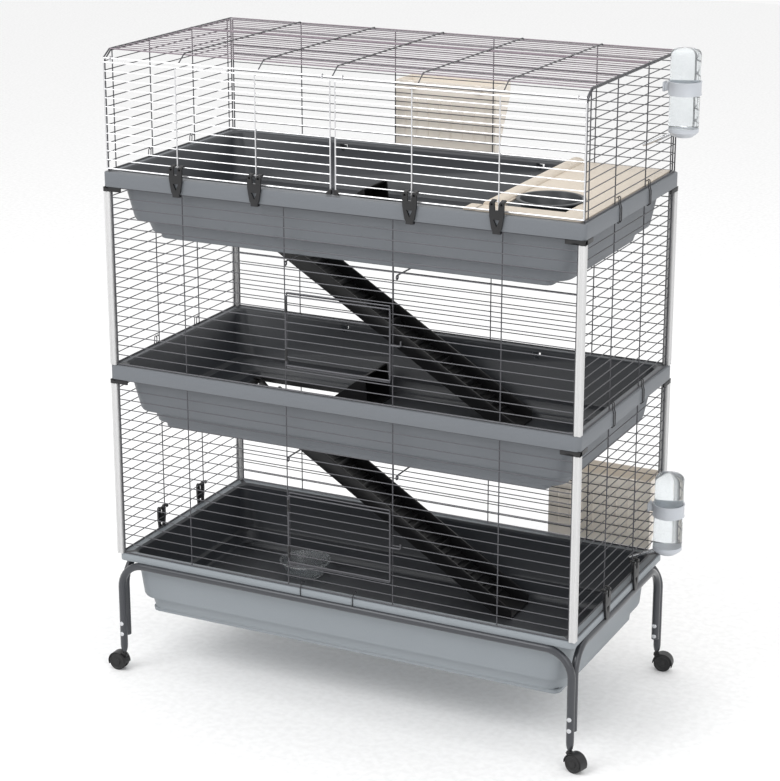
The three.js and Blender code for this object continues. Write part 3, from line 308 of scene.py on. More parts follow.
def make_dust_group():
    group, given, out = new_group("settled_dust", [
        ("Vector", "Vector", None), ("Colour", "Color", (0.5, 0.5, 0.5, 1)),
        ("Dust", "Color", (0.6, 0.58, 0.55, 1)), ("Amount", "Float", 0.15),
    ], [("Colour", "Color"), ("Mask", "Float")])
    faces = add(group, "ShaderNodeNewGeometry")
    up = add(group, "ShaderNodeSeparateXYZ", [("Vector", faces.outputs["Normal"])])
    patch = add(group, "ShaderNodeTexNoise", [("Vector", given.outputs["Vector"]),
                                              ("Scale", 16.0), ("Detail", 5.0)])
    settle = add(group, "ShaderNodeMapRange", [(0, up.outputs["Z"]), (1, 0.4), (2, 1.0)])
    both = add(group, "ShaderNodeMath", [(0, settle.outputs[0]), (1, patch.outputs["Fac"])],
               operation="MULTIPLY")
    mask = add(group, "ShaderNodeMath", [(0, both.outputs[0]), (1, given.outputs["Amount"])],
               operation="MULTIPLY")
    group.links.new(mixed(group, mask.outputs[0], given.outputs["Colour"],
                          given.outputs["Dust"]), out.inputs["Colour"])
    group.links.new(mask.outputs[0], out.inputs["Mask"])
    return group


moulded_grain, settled_dust = make_moulded_group(), make_dust_group()
print("shader groups:", moulded_grain.name, settled_dust.name)

# %% [markdown]
# ### The finishes of this cage
# Each finish names a measured colour, how rough it is, how coarse its grain is and how
# much dust shows on it. Wires are drawn steel with a thin coat, so they get a very fine grain
# and a metallic value. Clear plastic lets light through with the shader's own transmission.

# %% Make the finishes
def linear(red, green, blue):
    """A screen colour (0 to 255) as the linear colour that the shader expects."""
    parts = [c / 255 for c in (red, green, blue)]
    return tuple(c / 12.92 if c < 0.04 else ((c + 0.055) / 1.055) ** 2.4 for c in parts) + (1,)


THIN_WALL_IOR, CLOUD_ROUGHNESS = 1.3, 0.07


def new_finish(name, colour, rough, shade=0.1, grain=900.0, bump=0.02, dust=0.0, metal=0.0,
               coat=0.0, clear=0.0):
    """A Principled material with a fine grain, whose bump is given in mm."""
    finish = bpy.data.materials.new(name)
    finish.use_nodes = True
    tree = finish.node_tree
    shader = tree.nodes["Principled BSDF"]
    where = add(tree, "ShaderNodeTexCoord").outputs["Object"]
    skin = add(tree, "ShaderNodeGroup", node_tree=moulded_grain)
    tree.links.new(where, skin.inputs["Vector"])
    skin.inputs["Colour"].default_value = colour
    skin.inputs["Shade"].default_value = shade
    skin.inputs["Grain"].default_value = grain
    skin.inputs["Rough"].default_value = rough - CLOUD_ROUGHNESS
    shown = skin.outputs["Colour"]
    if dust:
        film = add(tree, "ShaderNodeGroup", node_tree=settled_dust)
        tree.links.new(where, film.inputs["Vector"])
        tree.links.new(shown, film.inputs["Colour"])
        film.inputs["Amount"].default_value = dust
        shown = film.outputs["Colour"]
    tree.links.new(shown, shader.inputs["Base Color"])
    tree.links.new(skin.outputs["Roughness"], shader.inputs["Roughness"])
    if bump:
        relief = add(tree, "ShaderNodeBump", [("Height", skin.outputs["Height"]),
                                              ("Strength", 0.25), ("Distance", bump / 1000)])
        tree.links.new(relief.outputs["Normal"], shader.inputs["Normal"])
    shader.inputs["Metallic"].default_value = metal
    shader.inputs["Coat Weight"].default_value = coat
    shader.inputs["Transmission Weight"].default_value = clear
    if clear:
        shader.inputs["IOR"].default_value = THIN_WALL_IOR
    return finish


grey_plastic = new_finish("grey_plastic", linear(105, 109, 114), 0.5, 0.08, dust=0.1)
light_grey_plastic = new_finish("light_grey_plastic", linear(136, 142, 147), 0.48, 0.06)
tray_inside = new_finish("tray_inside", linear(54, 57, 62), 0.42, 0.18, 700.0, dust=0.06)
black_plastic = new_finish("black_plastic", linear(20, 20, 22), 0.42, 0.25, 1100.0, dust=0.02)
charcoal_plastic = new_finish("charcoal_plastic", linear(54, 57, 61), 0.35, 0.15)
beige_plastic = new_finish("beige_plastic", linear(206, 195, 180), 0.5, 0.07, dust=0.02)
# The racks' beige is set lighter than their own plastic: painted light that brightens the racks
# where they sit in shade.
rack_beige_painted_light = new_finish("rack_beige_painted_light", linear(240, 232, 221), 0.5, 0.07, dust=0.02)
pale_plastic = new_finish("pale_plastic", linear(186, 190, 196), 0.35, 0.06)
white_coat = new_finish("white_coat", linear(198, 198, 198), 0.38, 0.05, 500.0, 0.01, coat=0.2)
dark_tube_coat = new_finish("dark_tube_coat", linear(58, 60, 65), 0.32, 0.12, 1400.0, 0.015,
                            metal=0.3, coat=0.4)
dark_wire_coat = new_finish("dark_wire_coat", linear(84, 84, 88), 0.38, 0.2, 2500.0, 0.005,
                            metal=0.55)
# The roof's long wires get a lighter, violet-tinted copy of the coated wire: a painted sheen for
# the light they catch on the roof.
roof_wire_painted_sheen = new_finish("roof_wire_painted_sheen", linear(126, 116, 123), 0.36, 0.22, 2500.0, 0.005,
                            metal=0.6)
bright_zinc = new_finish("bright_zinc", linear(222, 222, 224), 0.28, 0.12, 2500.0, 0.005,
                         metal=0.75)
black_wire_coat = new_finish("black_wire_coat", linear(40, 40, 43), 0.36, 0.2, 2500.0, 0.005,
                             metal=0.4)
steel_bolt = new_finish("steel_bolt", linear(206, 208, 211), 0.25, 0.08, 1800.0, 0.005, metal=0.9)
clear_plastic = new_finish("clear_plastic", linear(240, 244, 246), 0.1, 0.02, 200.0, 0.0,
                           clear=0.93)
black_tyre = new_finish("black_tyre", linear(24, 24, 25), 0.55, 0.2, 1500.0, 0.03, dust=0.1)
print(len(bpy.data.materials), "finishes")

# %% [markdown]
# ## Round wires that follow a path
# The walls, roof and doors are grilles of steel wire. A path of points with a gauge at each
# point is enough to say what a wire is, so Geometry Nodes turn it into a round rod: the mesh
# edges become a curve, and a small circle is swept along it, scaled by the gauge at each point,
# with closed ends. The same tree makes the tubes of the stand, whose gauge narrows at the
# feet. Six sides are enough for wires of 2 to 4 mm, which keeps hundreds of them light.

# %% Build the round wire tree
def add_input(tree, name, kind, value=None):
    socket = tree.interface.new_socket(name, in_out="INPUT", socket_type="NodeSocket" + kind)
    if value is not None:
        socket.default_value = value
    return socket.identifier


wire_tree = bpy.data.node_groups.new("round_wire", "GeometryNodeTree")
wire_inputs = {name: add_input(wire_tree, name, kind, value) for name, kind, value in (
    ("Paths", "Geometry", None), ("Thickness", "Float", 1.0), ("Sides", "Int", 6),
    ("Finish", "Material", None))}
wire_tree.interface.new_socket("Wires", in_out="OUTPUT", socket_type="NodeSocketGeometry")
given = wire_tree.nodes.new("NodeGroupInput")
lines = add(wire_tree, "GeometryNodeMeshToCurve", [("Mesh", given.outputs["Paths"])])
gauge = add(wire_tree, "GeometryNodeInputNamedAttribute", [("Name", "gauge")], data_type="FLOAT")
scaled = add(wire_tree, "ShaderNodeMath", [(0, gauge.outputs["Attribute"]),
                                           (1, given.outputs["Thickness"])], operation="MULTIPLY")
ring = add(wire_tree, "GeometryNodeCurvePrimitiveCircle", [("Resolution", given.outputs["Sides"]),
                                                           ("Radius", 1.0)])
rods = add(wire_tree, "GeometryNodeCurveToMesh", [("Curve", lines.outputs["Curve"]),
           ("Profile Curve", ring.outputs["Curve"]), ("Scale", scaled.outputs[0]),
           ("Fill Caps", True)])
real = add(wire_tree, "GeometryNodeRealizeInstances", [("Geometry", rods.outputs["Mesh"])])
coated = add(wire_tree, "GeometryNodeSetMaterial", [("Geometry", real.outputs["Geometry"]),
                                                    ("Material", given.outputs["Finish"])])
ending = wire_tree.nodes.new("NodeGroupOutput")
wire_tree.links.new(coated.outputs["Geometry"], ending.inputs["Wires"])


def wires(paths, finish, sides=6):
    """Round wires from (points, radius in mm) paths; a radius may be a list, one for each point."""
    points, links, gauges = [], [], []
    for path, radius in paths:
        first = len(points)
        points.extend(path)
        links.extend((first + i, first + i + 1) for i in range(len(path) - 1))
        radii = radius if isinstance(radius, list) else [radius] * len(path)
        gauges.extend(r / 1000 for r in radii)
    mesh = bpy.data.meshes.new("paths")
    mesh.from_pydata(points, links, [])
    mesh.attributes.new("gauge", "FLOAT", "POINT").data.foreach_set("value", gauges)
    holder = held(mesh)
    maker = holder.modifiers.new("round_wire", "NODES")
    maker.node_group = wire_tree
    maker[wire_inputs["Sides"]], maker[wire_inputs["Finish"]] = sides, finish
    return plain(holder)


def publish_wires(name, paths, finish, body, replaces=(), sides=6, smooth=50):
    """Hands over a piece that is nothing but wires of one finish."""
    return publish(name, of_one(finish, wires(paths, finish, sides)), body, replaces,
                   smooth)


trial = wires([([at(0, 0, 0), at(100, 0, 0)], 1.2)], dark_wire_coat)
print("one straight wire has", len(trial.polygons), "faces")
bpy.data.meshes.remove(trial)

# %% [markdown]
# ## The trays
# Each tray is vacuum-formed from one sheet: a flat rim, sloping walls, a step near the foot and
# a sunken floor. Its rounded outline changes size on the way, so it is a loft through rounded
# rectangles, up the outside first and then down the inside to the floor. The upper trays have a
# passage for the ramp and T-shaped slots in the back wall, which a Boolean cuts as a cutter
# would. Outside and rim are grey and the inside is charcoal, which a face's place decides.

# %% Make the trays
TRAY_LENGTH, TRAY_DEPTH, TRAY_HEIGHT = 1180, 585, 160
BOTTOM_LENGTH, BOTTOM_DEPTH = 1170, 578
BOTTOM_RIM, MIDDLE_RIM, TOP_RIM = 306, 780, 1241
RIM_FLANGE, TRAY_WALL, FLOOR_DROP = 22, 2.5, 157
FIT = 0.3  # the gap between pieces that rest on each other


def tray_rows(skirt, foot, step, floor, recess, side):
    """[inset, depth below the rim, corner radius, inset of the long sides] from foot to floor."""
    wall = TRAY_WALL
    top = RIM_FLANGE + 2
    outside = [
        (recess + 4, TRAY_HEIGHT, 16, side + 4), (recess + 1, TRAY_HEIGHT - 2, 19, side + 1),
        (recess, 150, 20, side), (floor + 3, 148, 39, floor + 3), (floor + 1, 147, 42, floor + 1),
        (floor, 143, 44, floor), (step + 1, 123, 44, step + 1), (step - 1, 120, 44, step - 1),
        (foot + 7, 119, 44, foot + 7), (foot + 2, 117, 43, foot + 2), (foot, 112, 42, foot),
        (top, 2 * wall, 26, top), (top, wall, 22, top), (wall, wall, 9.5, wall),
        (wall, skirt, 9.5, wall), (0.6, skirt, 11.4, 0.6), (0, skirt - 1, 12, 0),
        (0, 2, 12, 0), (0.6, 0.6, 11.6, 0.6), (2, 0, 11, 2),
    ]
    inside = [
        (RIM_FLANGE - 1, 0, 21, RIM_FLANGE - 1), (RIM_FLANGE + 1.5, 1, 21, RIM_FLANGE + 1.5),
        (top + wall, 2 * wall, 24, top + wall), (foot + wall, 110, 40, foot + wall),
        (foot + wall + 3, 115, 41, foot + wall + 3), (step + wall, 118, 42, step + wall),
        (floor + wall, 141, 42, floor + wall), (floor + wall + 4, 145, 40, floor + wall + 4),
        (recess + wall, 146, 18, side + wall), (recess + 4 + wall, 155, 15, side + 4 + wall),
        (recess + 7 + wall, 157, 12, side + 7 + wall),
    ]
    return outside, inside


def tray_mesh(rim, skirt, insets, length, depth, cutters=()):
    outside, inside = tray_rows(skirt, *insets)
    form = bmesh.new()
    add_rings(form, [[at(x, y, rim - drop) for x, y in rounded_outline(
        length - 2 * ends, depth - 2 * sides, radius, 7)]
        for ends, drop, radius, sides in outside + inside])
    return shaped(form, cutters=cutters)


def line_inside(tray, rim, length, depth):
    """Gives the inner faces of a tray the inner finish."""
    tray.data.materials.append(tray_inside)
    for face in tray.data.polygons:
        spot = face.center - at(0, 0, rim)
        drop = -spot.z * 1000
        near = min(length / 2 - abs(spot.x * 1000), depth / 2 - abs(spot.y * 1000))
        faces_in = face.normal.x * spot.x <= 1e-4 and face.normal.y * spot.y <= 1e-4
        on_rim = drop < 1.5 and near > RIM_FLANGE - 8
        if on_rim or (near > RIM_FLANGE - 2 and face.normal.z > -0.2 and faces_in):
            face.material_index = 1


def box_mesh(*sizes):
    form = bmesh.new()
    add_box(form, *sizes)
    return shaped(form)


PASSAGE_LEFT, PASSAGE_RIGHT, PASSAGE_NEAR, PASSAGE_FAR = -464, -225, 81, 205
SLOT_X, UPPER_SKIRT, BOTTOM_SKIRT = 259, 34, 17
UPPER_INSETS, BOTTOM_INSETS = (39, 60, 67, 100, 70), (30, 42, 47, 52, 52)
for name, rim in (("middle_tray", MIDDLE_RIM), ("top_tray", TOP_RIM)):
    back = TRAY_DEPTH / 2
    cutters = [box_mesh(PASSAGE_LEFT, PASSAGE_RIGHT, PASSAGE_NEAR, PASSAGE_FAR, rim - 165,
                        rim - 120)]
    for x in (-SLOT_X, SLOT_X):
        cutters.append(box_mesh(x - 11, x + 11, back - 46, back + 1, rim - 15, rim - 8))
        cutters.append(box_mesh(x - 4, x + 4, back - 46, back + 1, rim - 24, rim - 14))
    body = tray_mesh(rim, UPPER_SKIRT, UPPER_INSETS, TRAY_LENGTH, TRAY_DEPTH, cutters)
    tray = publish(f"{name}_shell", [(body, grey_plastic)], "cage", [name])
    line_inside(tray, rim, TRAY_LENGTH, TRAY_DEPTH)
body = tray_mesh(BOTTOM_RIM, BOTTOM_SKIRT, BOTTOM_INSETS, BOTTOM_LENGTH, BOTTOM_DEPTH)
tray = publish("bottom_tray_shell", [(body, light_grey_plastic)], "cage",
               ["bottom_tray"])
line_inside(tray, BOTTOM_RIM, BOTTOM_LENGTH, BOTTOM_DEPTH)

# %% [markdown]
# ## Wire grilles
# A panel is a frame of thicker wire with thin level wires welded to it, and a few uprights
# across them. Every panel of the cage follows that rule, so one helper lists the paths and the
# round wire tree makes them. The level wires end in the middle of the frame, and the uprights
# lie just inside them and touch them, because that is where they are welded.

# %% Helper for a grille
FRAME_GAUGE, CROSS_GAUGE, FINE_GAUGE = 1.8, 1.5, 1.2
PANEL_X, PANEL_Y = 581.5, 284


def grille(place, u0, u1, v0, v1, spaces, uprights, inward, gap=None):
    """Paths of a flat grille. place(u, v, w) gives a point, w being the depth behind the front."""
    r = FRAME_GAUGE

    def loop(a, b, low, high):
        turns = [place(a, low, 0), place(b, low, 0), place(b, high, 0), place(a, high, 0)]
        return [([turns[i], turns[(i + 1) % 4]], r) for i in range(4)]

    paths = loop(u0 + r, u1 - r, v0 + r, v1 - r)
    pitch = (v1 - v0 - 2 * r) / spaces
    for i in range(1, spaces):
        v = v0 + r + i * pitch
        ends = [(u0 + r, u1 - r)]
        if gap and gap[2] < v < gap[3]:
            ends = [(u0 + r, gap[0]), (gap[1], u1 - r)]
        paths += [([place(a, v, 0), place(b, v, 0)], FINE_GAUGE) for a, b in ends]
    depth = inward * (FINE_GAUGE + CROSS_GAUGE)
    for u in uprights:
        paths.append(([place(u, v0 + 1, depth), place(u, v1 - 1, depth)], CROSS_GAUGE))
    return paths + loop(*gap) if gap else paths


def front_place(y):
    return lambda u, v, w: at(u, y + w, v)


def side_place(x):
    return lambda u, v, w: at(x + w, u, v)


# %% [markdown]
# ## The walls of the two lower levels
# Each level has a front, a back and two side panels between two trays. The front panel leaves a
# doorway for a small door, so its long wires stop at a frame there.

# %% Make the level walls
LEVELS = (("lower", BOTTOM_RIM, MIDDLE_RIM), ("middle", MIDDLE_RIM, TOP_RIM))
FRONT_UPRIGHTS, BACK_UPRIGHTS = (-386, -125, 143, 400), (-394, -131, 131, 394)
SIDE_UPRIGHTS, DOORWAY = (-92, 94), (-119, 137, 56, 230)
WALL_SPACES, WALL_HALF_LENGTH, WALL_HALF_DEPTH = 18, 573, 275.5

for level, rim, ceiling in LEVELS:
    low, high = rim + FIT, ceiling - UPPER_SKIRT - FIT
    doorway = (DOORWAY[0], DOORWAY[1], rim + DOORWAY[2], rim + DOORWAY[3])
    for side, place, half, uprights, inward, gap in (
            ("front", front_place(-PANEL_Y), WALL_HALF_LENGTH, FRONT_UPRIGHTS, 1, doorway),
            ("back", front_place(PANEL_Y), WALL_HALF_LENGTH, BACK_UPRIGHTS, -1, None),
            ("left", side_place(-PANEL_X), WALL_HALF_DEPTH, SIDE_UPRIGHTS, 1, None),
            ("right", side_place(PANEL_X), WALL_HALF_DEPTH, SIDE_UPRIGHTS, -1, None)):
        paths = grille(place, -half, half, low, high, WALL_SPACES, uprights, inward, gap)
        publish_wires(f"{level}_{side}_wires", paths, dark_wire_coat, "cage",
                      [f"{level}_{side}_panel"])

# %% [markdown]
# ## The small doors of the two levels
# A keeper reaches in through these. Each door is a smaller grille that hangs on two rolled
# sleeves round the doorway's left wire, and it is held shut by a wire lever with an upturned
# end. The door moves on its own body, so it is a piece of its own with its sleeves and lever.

# %% Make the level doors
LEAF_Y, LEAF_LEFT, LEAF_RIGHT = -288.7, -120.8, 141.8
LEVER_END = LEAF_RIGHT + 24

for level, rim, ceiling in LEVELS:
    low, high = rim + DOORWAY[2] + 4, rim + DOORWAY[3] - 4
    paths = grille(front_place(LEAF_Y), LEAF_LEFT, LEAF_RIGHT, low, high, 8, (), 1)
    latch = (low + high) / 2
    lever = bent([at(LEAF_RIGHT - 2, LEAF_Y, latch), at(LEVER_END, LEAF_Y, latch),
                  at(LEVER_END, LEAF_Y, latch + 12)], 4)
    paths.append((lever, FRAME_GAUGE))
    leaf = wires(paths, dark_wire_coat)
    sleeves = bmesh.new()
    for z in (low + 12, high - 40):
        add_turned(sleeves, [(1.8, z), (2.3, z - 0.1), (2.6, z + 0.6), (2.6, z + 27.4),
                             (2.3, z + 28.1), (1.8, z + 28)], at(DOORWAY[0], LEAF_Y, 0), sides=16)
    publish(f"{level}_door_leaf_wires", [(leaf, dark_wire_coat), (shaped(sleeves), black_plastic)],
            f"{level}_door_leaf", [f"{level}_door"], smooth=50)

# %% [markdown]
# ## The top cage
# The top cage is made of lighter wire. Its sides have a cut-off corner where the front slopes
# back to the roof, the roof is a mat of long wires tied by five cross wires, and the big doors
# fill the front. The roof's cross wires run on down the slope, so they are bent paths, and
# the front wire that carries the doors is as bright as the doors.

# %% Make the top cage
CAGE_LOW, ROOF, CHAMFER_Z, CHAMFER_Y = 1241.3, 1521, 1502, -258
TOP_BACK_UPRIGHTS, TOP_SIDE_UPRIGHTS = (-382, -126, 130, 388), (-252, -95, 95, 262)
ROOF_WIRES, TOP_SPACES, ROOF_SPACES, STIFF_WIRE_Y = (-384, -182, 0, 203, 399), 13, 21, 90
top_high = ROOF - 3.9
back = grille(front_place(PANEL_Y), -577.9, 577.9, CAGE_LOW, top_high, TOP_SPACES,
              TOP_BACK_UPRIGHTS, -1)
publish_wires("top_back_wires", back, dark_wire_coat, "cage", ["top_back_panel"])

pitch = (top_high - CAGE_LOW - 2 * FRAME_GAUGE) / TOP_SPACES
for name, sign in (("left", -1), ("right", 1)):
    x, near = sign * PANEL_X, -PANEL_Y + 5.4
    inner = x - sign * (FINE_GAUGE + CROSS_GAUGE)
    foot, head = CAGE_LOW + FRAME_GAUGE, top_high - FRAME_GAUGE
    loop = [at(x, near, foot), at(x, PANEL_Y, foot), at(x, PANEL_Y, head),
            at(x, CHAMFER_Y + 5, head), at(x, near, CHAMFER_Z - 5.5)]
    paths = [([loop[i], loop[(i + 1) % 5]], FRAME_GAUGE) for i in range(5)]
    for i in range(1, TOP_SPACES):
        z = foot + i * pitch
        paths.append(([at(x, near, z), at(x, PANEL_Y, z)], FINE_GAUGE))
    for y in TOP_SIDE_UPRIGHTS:
        paths.append(([at(inner, y, CAGE_LOW + 1), at(inner, y, top_high - 1)], CROSS_GAUGE))
    publish_wires(f"top_{name}_wires", paths, dark_wire_coat, "cage",
                  [f"top_{name}_panel"])

side, roof_mid = PANEL_X, ROOF - FRAME_GAUGE


def across_roof(y, z, gauge, short=0.0):
    return [at(-side + short, y, z), at(side - short, y, z)], gauge


front_wire = [across_roof(-PANEL_Y, CHAMFER_Z, FRAME_GAUGE)]
long_wires = [across_roof(y, roof_mid, FRAME_GAUGE) for y in (PANEL_Y, CHAMFER_Y)]
for i in range(1, ROOF_SPACES):
    y = CHAMFER_Y + i * (PANEL_Y - CHAMFER_Y) / ROOF_SPACES
    long_wires.append(across_roof(y, ROOF - 1.9, FINE_GAUGE, FRAME_GAUGE))
long_wires.append(across_roof(STIFF_WIRE_Y, roof_mid, 1.7))
paths = []
for x in (-side, side):
    paths.append((bent([at(x, -PANEL_Y, CHAMFER_Z), at(x, CHAMFER_Y, roof_mid),
                        at(x, PANEL_Y, roof_mid)], 6), FRAME_GAUGE))
for x in ROOF_WIRES:
    top = ROOF + 0.9
    paths.append((bent([at(x, -PANEL_Y, CHAMFER_Z + 0.5), at(x, CHAMFER_Y, top),
                        at(x, PANEL_Y - 2, top), at(x, PANEL_Y - 0.5, ROOF - 3)], 5),
                  CROSS_GAUGE))
for sign in (-1, 1):  # the side panels' uprights curl over the roof's end wires
    for y in TOP_SIDE_UPRIGHTS[1:3]:
        ring = [at(sign * (side - 2.2 + 2.9 * math.cos(a)), y, ROOF - 3 + 3.4 * math.sin(a))
                for a in (math.radians(-30 + 250 * i / 10) for i in range(11))]
        paths.append((ring, 1.1))
# The long roof wires take the lighter violet coat, which is a painted sheen.
publish("roof_wires", [(wires(paths, dark_wire_coat), dark_wire_coat),
                       (wires(long_wires, roof_wire_painted_sheen), roof_wire_painted_sheen),
                       (wires(front_wire, bright_zinc), bright_zinc)],
        "cage", ["top_roof_panel"], smooth=50)

# %% [markdown]
# ## The two large top doors
# Each door hangs from eyes that are bent round the roof's front wire, so the whole front lifts
# up. They are zinc plated and look almost white beside the coated wires. The eyes are drawn as
# open loops of the same wire, in the plane across the hinge, and run down onto the door.

# %% Make the top doors
DOOR_LOW, DOOR_HIGH, DOOR_SPACES, EYE = 1246.5, 1494, 12, 4.3
for name, u0, u1, uprights in (("left", -583.3, -4.5, (-392, -190)),
                               ("right", 4.5, 583.3, (190, 392))):
    paths = grille(front_place(-PANEL_Y), u0, u1, DOOR_LOW, DOOR_HIGH, DOOR_SPACES, uprights, -1)
    for x in (u0 + 20, u1 - 20):
        eye = [at(x, -PANEL_Y + EYE * math.cos(a), CHAMFER_Z + EYE * math.sin(a))
               for a in (math.radians(-90 + 330 * i / 10) for i in range(11))]
        paths.append(([at(x, -PANEL_Y, DOOR_HIGH - 3)] + eye, 1.4))
    publish_wires(f"top_{name}_door_wires", paths, bright_zinc, f"top_{name}_door_leaf",
                  [f"top_{name}_door"])
print("top cage done")

# %% [markdown]
# ## Corner posts
# The posts are light extruded profiles with a shallow groove down each face and a white
# coat. A black moulded corner piece plugs into the top and grips both panels with two arms, and
# the head of a steel pin shows in it. The profile's outline carried upwards gives the groove
# along the whole post, which is how an extrusion is really made.

# %% Make the posts
POST_X, POST_Y, POST_HALF, CAP_HEIGHT, ARM_LENGTH, ARM = 581.7, 284.2, 8, 11, 46, 4


def post_outline(half, chamfer, groove, depth):
    """One side of the profile, then turned round for the other three."""
    side = [(-half + chamfer, -half), (-groove, -half), (-groove + 0.6, -half + depth),
            (groove - 0.6, -half + depth), (groove, -half), (half - chamfer, -half)]
    outline = []
    for k in range(4):
        c, s = math.cos(k * math.pi / 2), math.sin(k * math.pi / 2)
        outline += [(x * c - y * s, x * s + y * c) for x, y in side]
    return outline


for level, rim, ceiling in LEVELS:
    for corner, sx, sy in (("front_left", -1, -1), ("front_right", 1, -1),
                           ("back_left", -1, 1), ("back_right", 1, 1)):
        node = f"{level}_post_{corner}"
        low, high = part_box(node)
        z0, z1 = low.z * 1000, high.z * 1000
        top = z1 - CAP_HEIGHT
        shaft, cap, pin = bmesh.new(), bmesh.new(), bmesh.new()
        add_slab(shaft, sx * POST_X, sy * POST_Y, post_outline(POST_HALF, 2, 2.6, 1.2),
                 (z0, top + 0.5))
        add_rings(cap, [[at(sx * POST_X + x * k, sy * POST_Y + y * k, z) for x, y in
                         rounded_outline(2 * POST_HALF, 2 * POST_HALF, 2.5, 3)]
                        for z, k in ((top, 1.0), (z1 - 1, 1.0), (z1, 0.92))])
        face_x, face_y = sx * (POST_X + POST_HALF), sy * (POST_Y + POST_HALF)
        x = sorted((face_x, face_x - sx * ARM_LENGTH))
        y = sorted((face_y, face_y - sy * ARM_LENGTH))
        plate_x, plate_y = sorted((face_x, face_x - sx * ARM)), sorted((face_y, face_y - sy * ARM))
        add_box(cap, *x, *plate_y, top + 0.5, z1 - 0.5)
        add_box(cap, *plate_x, *y, top + 0.5, z1 - 0.5)
        add_turned(pin, [(0, 0), (2.6, 0), (2.6, 0.5), (2.0, 1.2), (0, 1.4)],
                   at(sx * (POST_X - 1), sy * (POST_Y + 6.4), top + 5.5),
                   TO_BACK if sy > 0 else TO_FRONT, 16, False)
        publish(f"{node}_profile", [(shaped(shaft, 0.4), white_coat),
                                    (shaped(cap, 0.5), black_plastic), (shaped(pin), steel_bolt)],
                "cage", [node])

# %% [markdown]
# ## Pieces that repeat on points
# Bolts, treads and ribs are all one small shape put down many times. A second tree does that:
# it takes the points of a mesh and puts the shape on each. The copies are only light instances
# inside the tree, and Realize Instances makes them real meshes at its end, because instances
# are lost when the model is exported.

# %% Build the repeating tree
repeat_tree = bpy.data.node_groups.new("repeat_on_points", "GeometryNodeTree")
repeat_inputs = {name: add_input(repeat_tree, name, kind, value) for name, kind, value in (
    ("Points", "Geometry", None), ("Shape", "Object", None), ("Scale", "Float", 1.0),
    ("Finish", "Material", None))}
repeat_tree.interface.new_socket("Copies", in_out="OUTPUT", socket_type="NodeSocketGeometry")
given = repeat_tree.nodes.new("NodeGroupInput")
shape = add(repeat_tree, "GeometryNodeObjectInfo", [("Object", given.outputs["Shape"])])
spots = add(repeat_tree, "GeometryNodeMeshToPoints", [("Mesh", given.outputs["Points"])])
copies = add(repeat_tree, "GeometryNodeInstanceOnPoints", [
    ("Points", spots.outputs["Points"]), ("Instance", shape.outputs["Geometry"]),
    ("Scale", given.outputs["Scale"])])
real = add(repeat_tree, "GeometryNodeRealizeInstances", [("Geometry", copies.outputs[0])])
coated = add(repeat_tree, "GeometryNodeSetMaterial", [("Geometry", real.outputs["Geometry"]),
                                                      ("Material", given.outputs["Finish"])])
ending = repeat_tree.nodes.new("NodeGroupOutput")
repeat_tree.links.new(coated.outputs["Geometry"], ending.inputs["Copies"])


def repeated(shape_mesh, points, finish):
    """Copies of a mesh, which is drawn round the origin, on every point."""
    shape_holder = held(shape_mesh)
    cloud = bpy.data.meshes.new("points")
    cloud.from_pydata(points, [], [])
    holder = held(cloud)
    maker = holder.modifiers.new("repeat_on_points", "NODES")
    maker.node_group = repeat_tree
    maker[repeat_inputs["Shape"]], maker[repeat_inputs["Finish"]] = shape_holder, finish
    result = plain(holder)
    bpy.data.objects.remove(shape_holder)
    return result


def drawn_at_origin(draw, edge=0.0):
    """Draws a form near the cage's middle and moves its mesh to the origin, ready to repeat."""
    form = bmesh.new()
    draw(form)
    mesh = shaped(form, edge)
    mesh.transform(Matrix.Translation(-at(0, 0, 0)))
    return mesh


# %% [markdown]
# ## The tube stand
# Four bent tubes carry the cage. The two long ones run under the front and back rims and turn
# down as legs, and the two short ones do the same at the ends, inside the long ones. Each leg
# pair is bolted together in two places. A tube is a wire with a large gauge, so the round wire
# tree makes it too, with the gauge narrowing at the pinched feet.

# %% Make the stand
LEG_X, LONG_Y, SHORT_Y, BAR_Z, TUBE = 582, 287, 270.1, 280.4, 9.0


BEND, PINCHED_FOOT = 62, ((50, 6.2), (52, 7.0), (58, 8.2))  # the feet as (height, radius)


def publish_tube(name, low_x, low_y, high_x, high_y, foot_z, feet=()):
    """A bent tube: up from one foot, along under the rim, and down to the other foot."""
    ends = ((low_x, low_y), (high_x, high_y))
    corners = [at(x, y, z) for (x, y), z in zip(
        (ends[0], ends[0], ends[1], ends[1]), (foot_z, BAR_Z, BAR_Z, foot_z))]
    path = bent(corners, BEND, 10)
    radii = [r for z, r in feet] + [TUBE] * len(path) + [r for z, r in feet[::-1]]
    path = ([at(*ends[0], z) for z, r in feet] + path
            + [at(*ends[1], z) for z, r in feet[::-1]])
    publish_wires(f"stand_{name}_pipe", [(path, radii)], dark_tube_coat, "cage",
                  [f"stand_{name}_tube"], 20, 40)


for name, sign in (("front", -1), ("back", 1)):
    publish_tube(name, -LEG_X, sign * LONG_Y, LEG_X, sign * LONG_Y, 66, PINCHED_FOOT)
for name, sign in (("left", -1), ("right", 1)):
    publish_tube(name, sign * LEG_X, -SHORT_Y, sign * LEG_X, SHORT_Y, 88)


def draw_bolt(form):
    """A domed head with a flat shoulder, facing -Y."""
    add_turned(form, [(0, -0.2), (5.6, -0.2), (5.6, 0.9), (5.0, 1.7), (3.4, 2.3), (0, 2.5)],
               at(0, 0, 0), TO_FRONT, 18, False)


bolt_spots = [at(sx * LEG_X, y - TUBE + 0.4, z) for sx in (-1, 1) for z in (97, 124)
              for y in (-LONG_Y, SHORT_Y)]
bolts = repeated(drawn_at_origin(draw_bolt), bolt_spots, steel_bolt)
publish("stand_bolt_heads", [(bolts, steel_bolt)], "cage")

# %% [markdown]
# ## Casters
# Each caster has two dished discs on one hub, a hood that covers their top, and a stem that
# plugs into the leg. The body swivels about the stem, and the discs roll about the hub. The
# four casters point different ways in the photograph, so one loop draws each caster at the
# angle that the CAD gives it.

# %% Make the casters
TRAIL, TREAD = 16, 21.25  # how far the hub trails the stem, and the radius of a disc


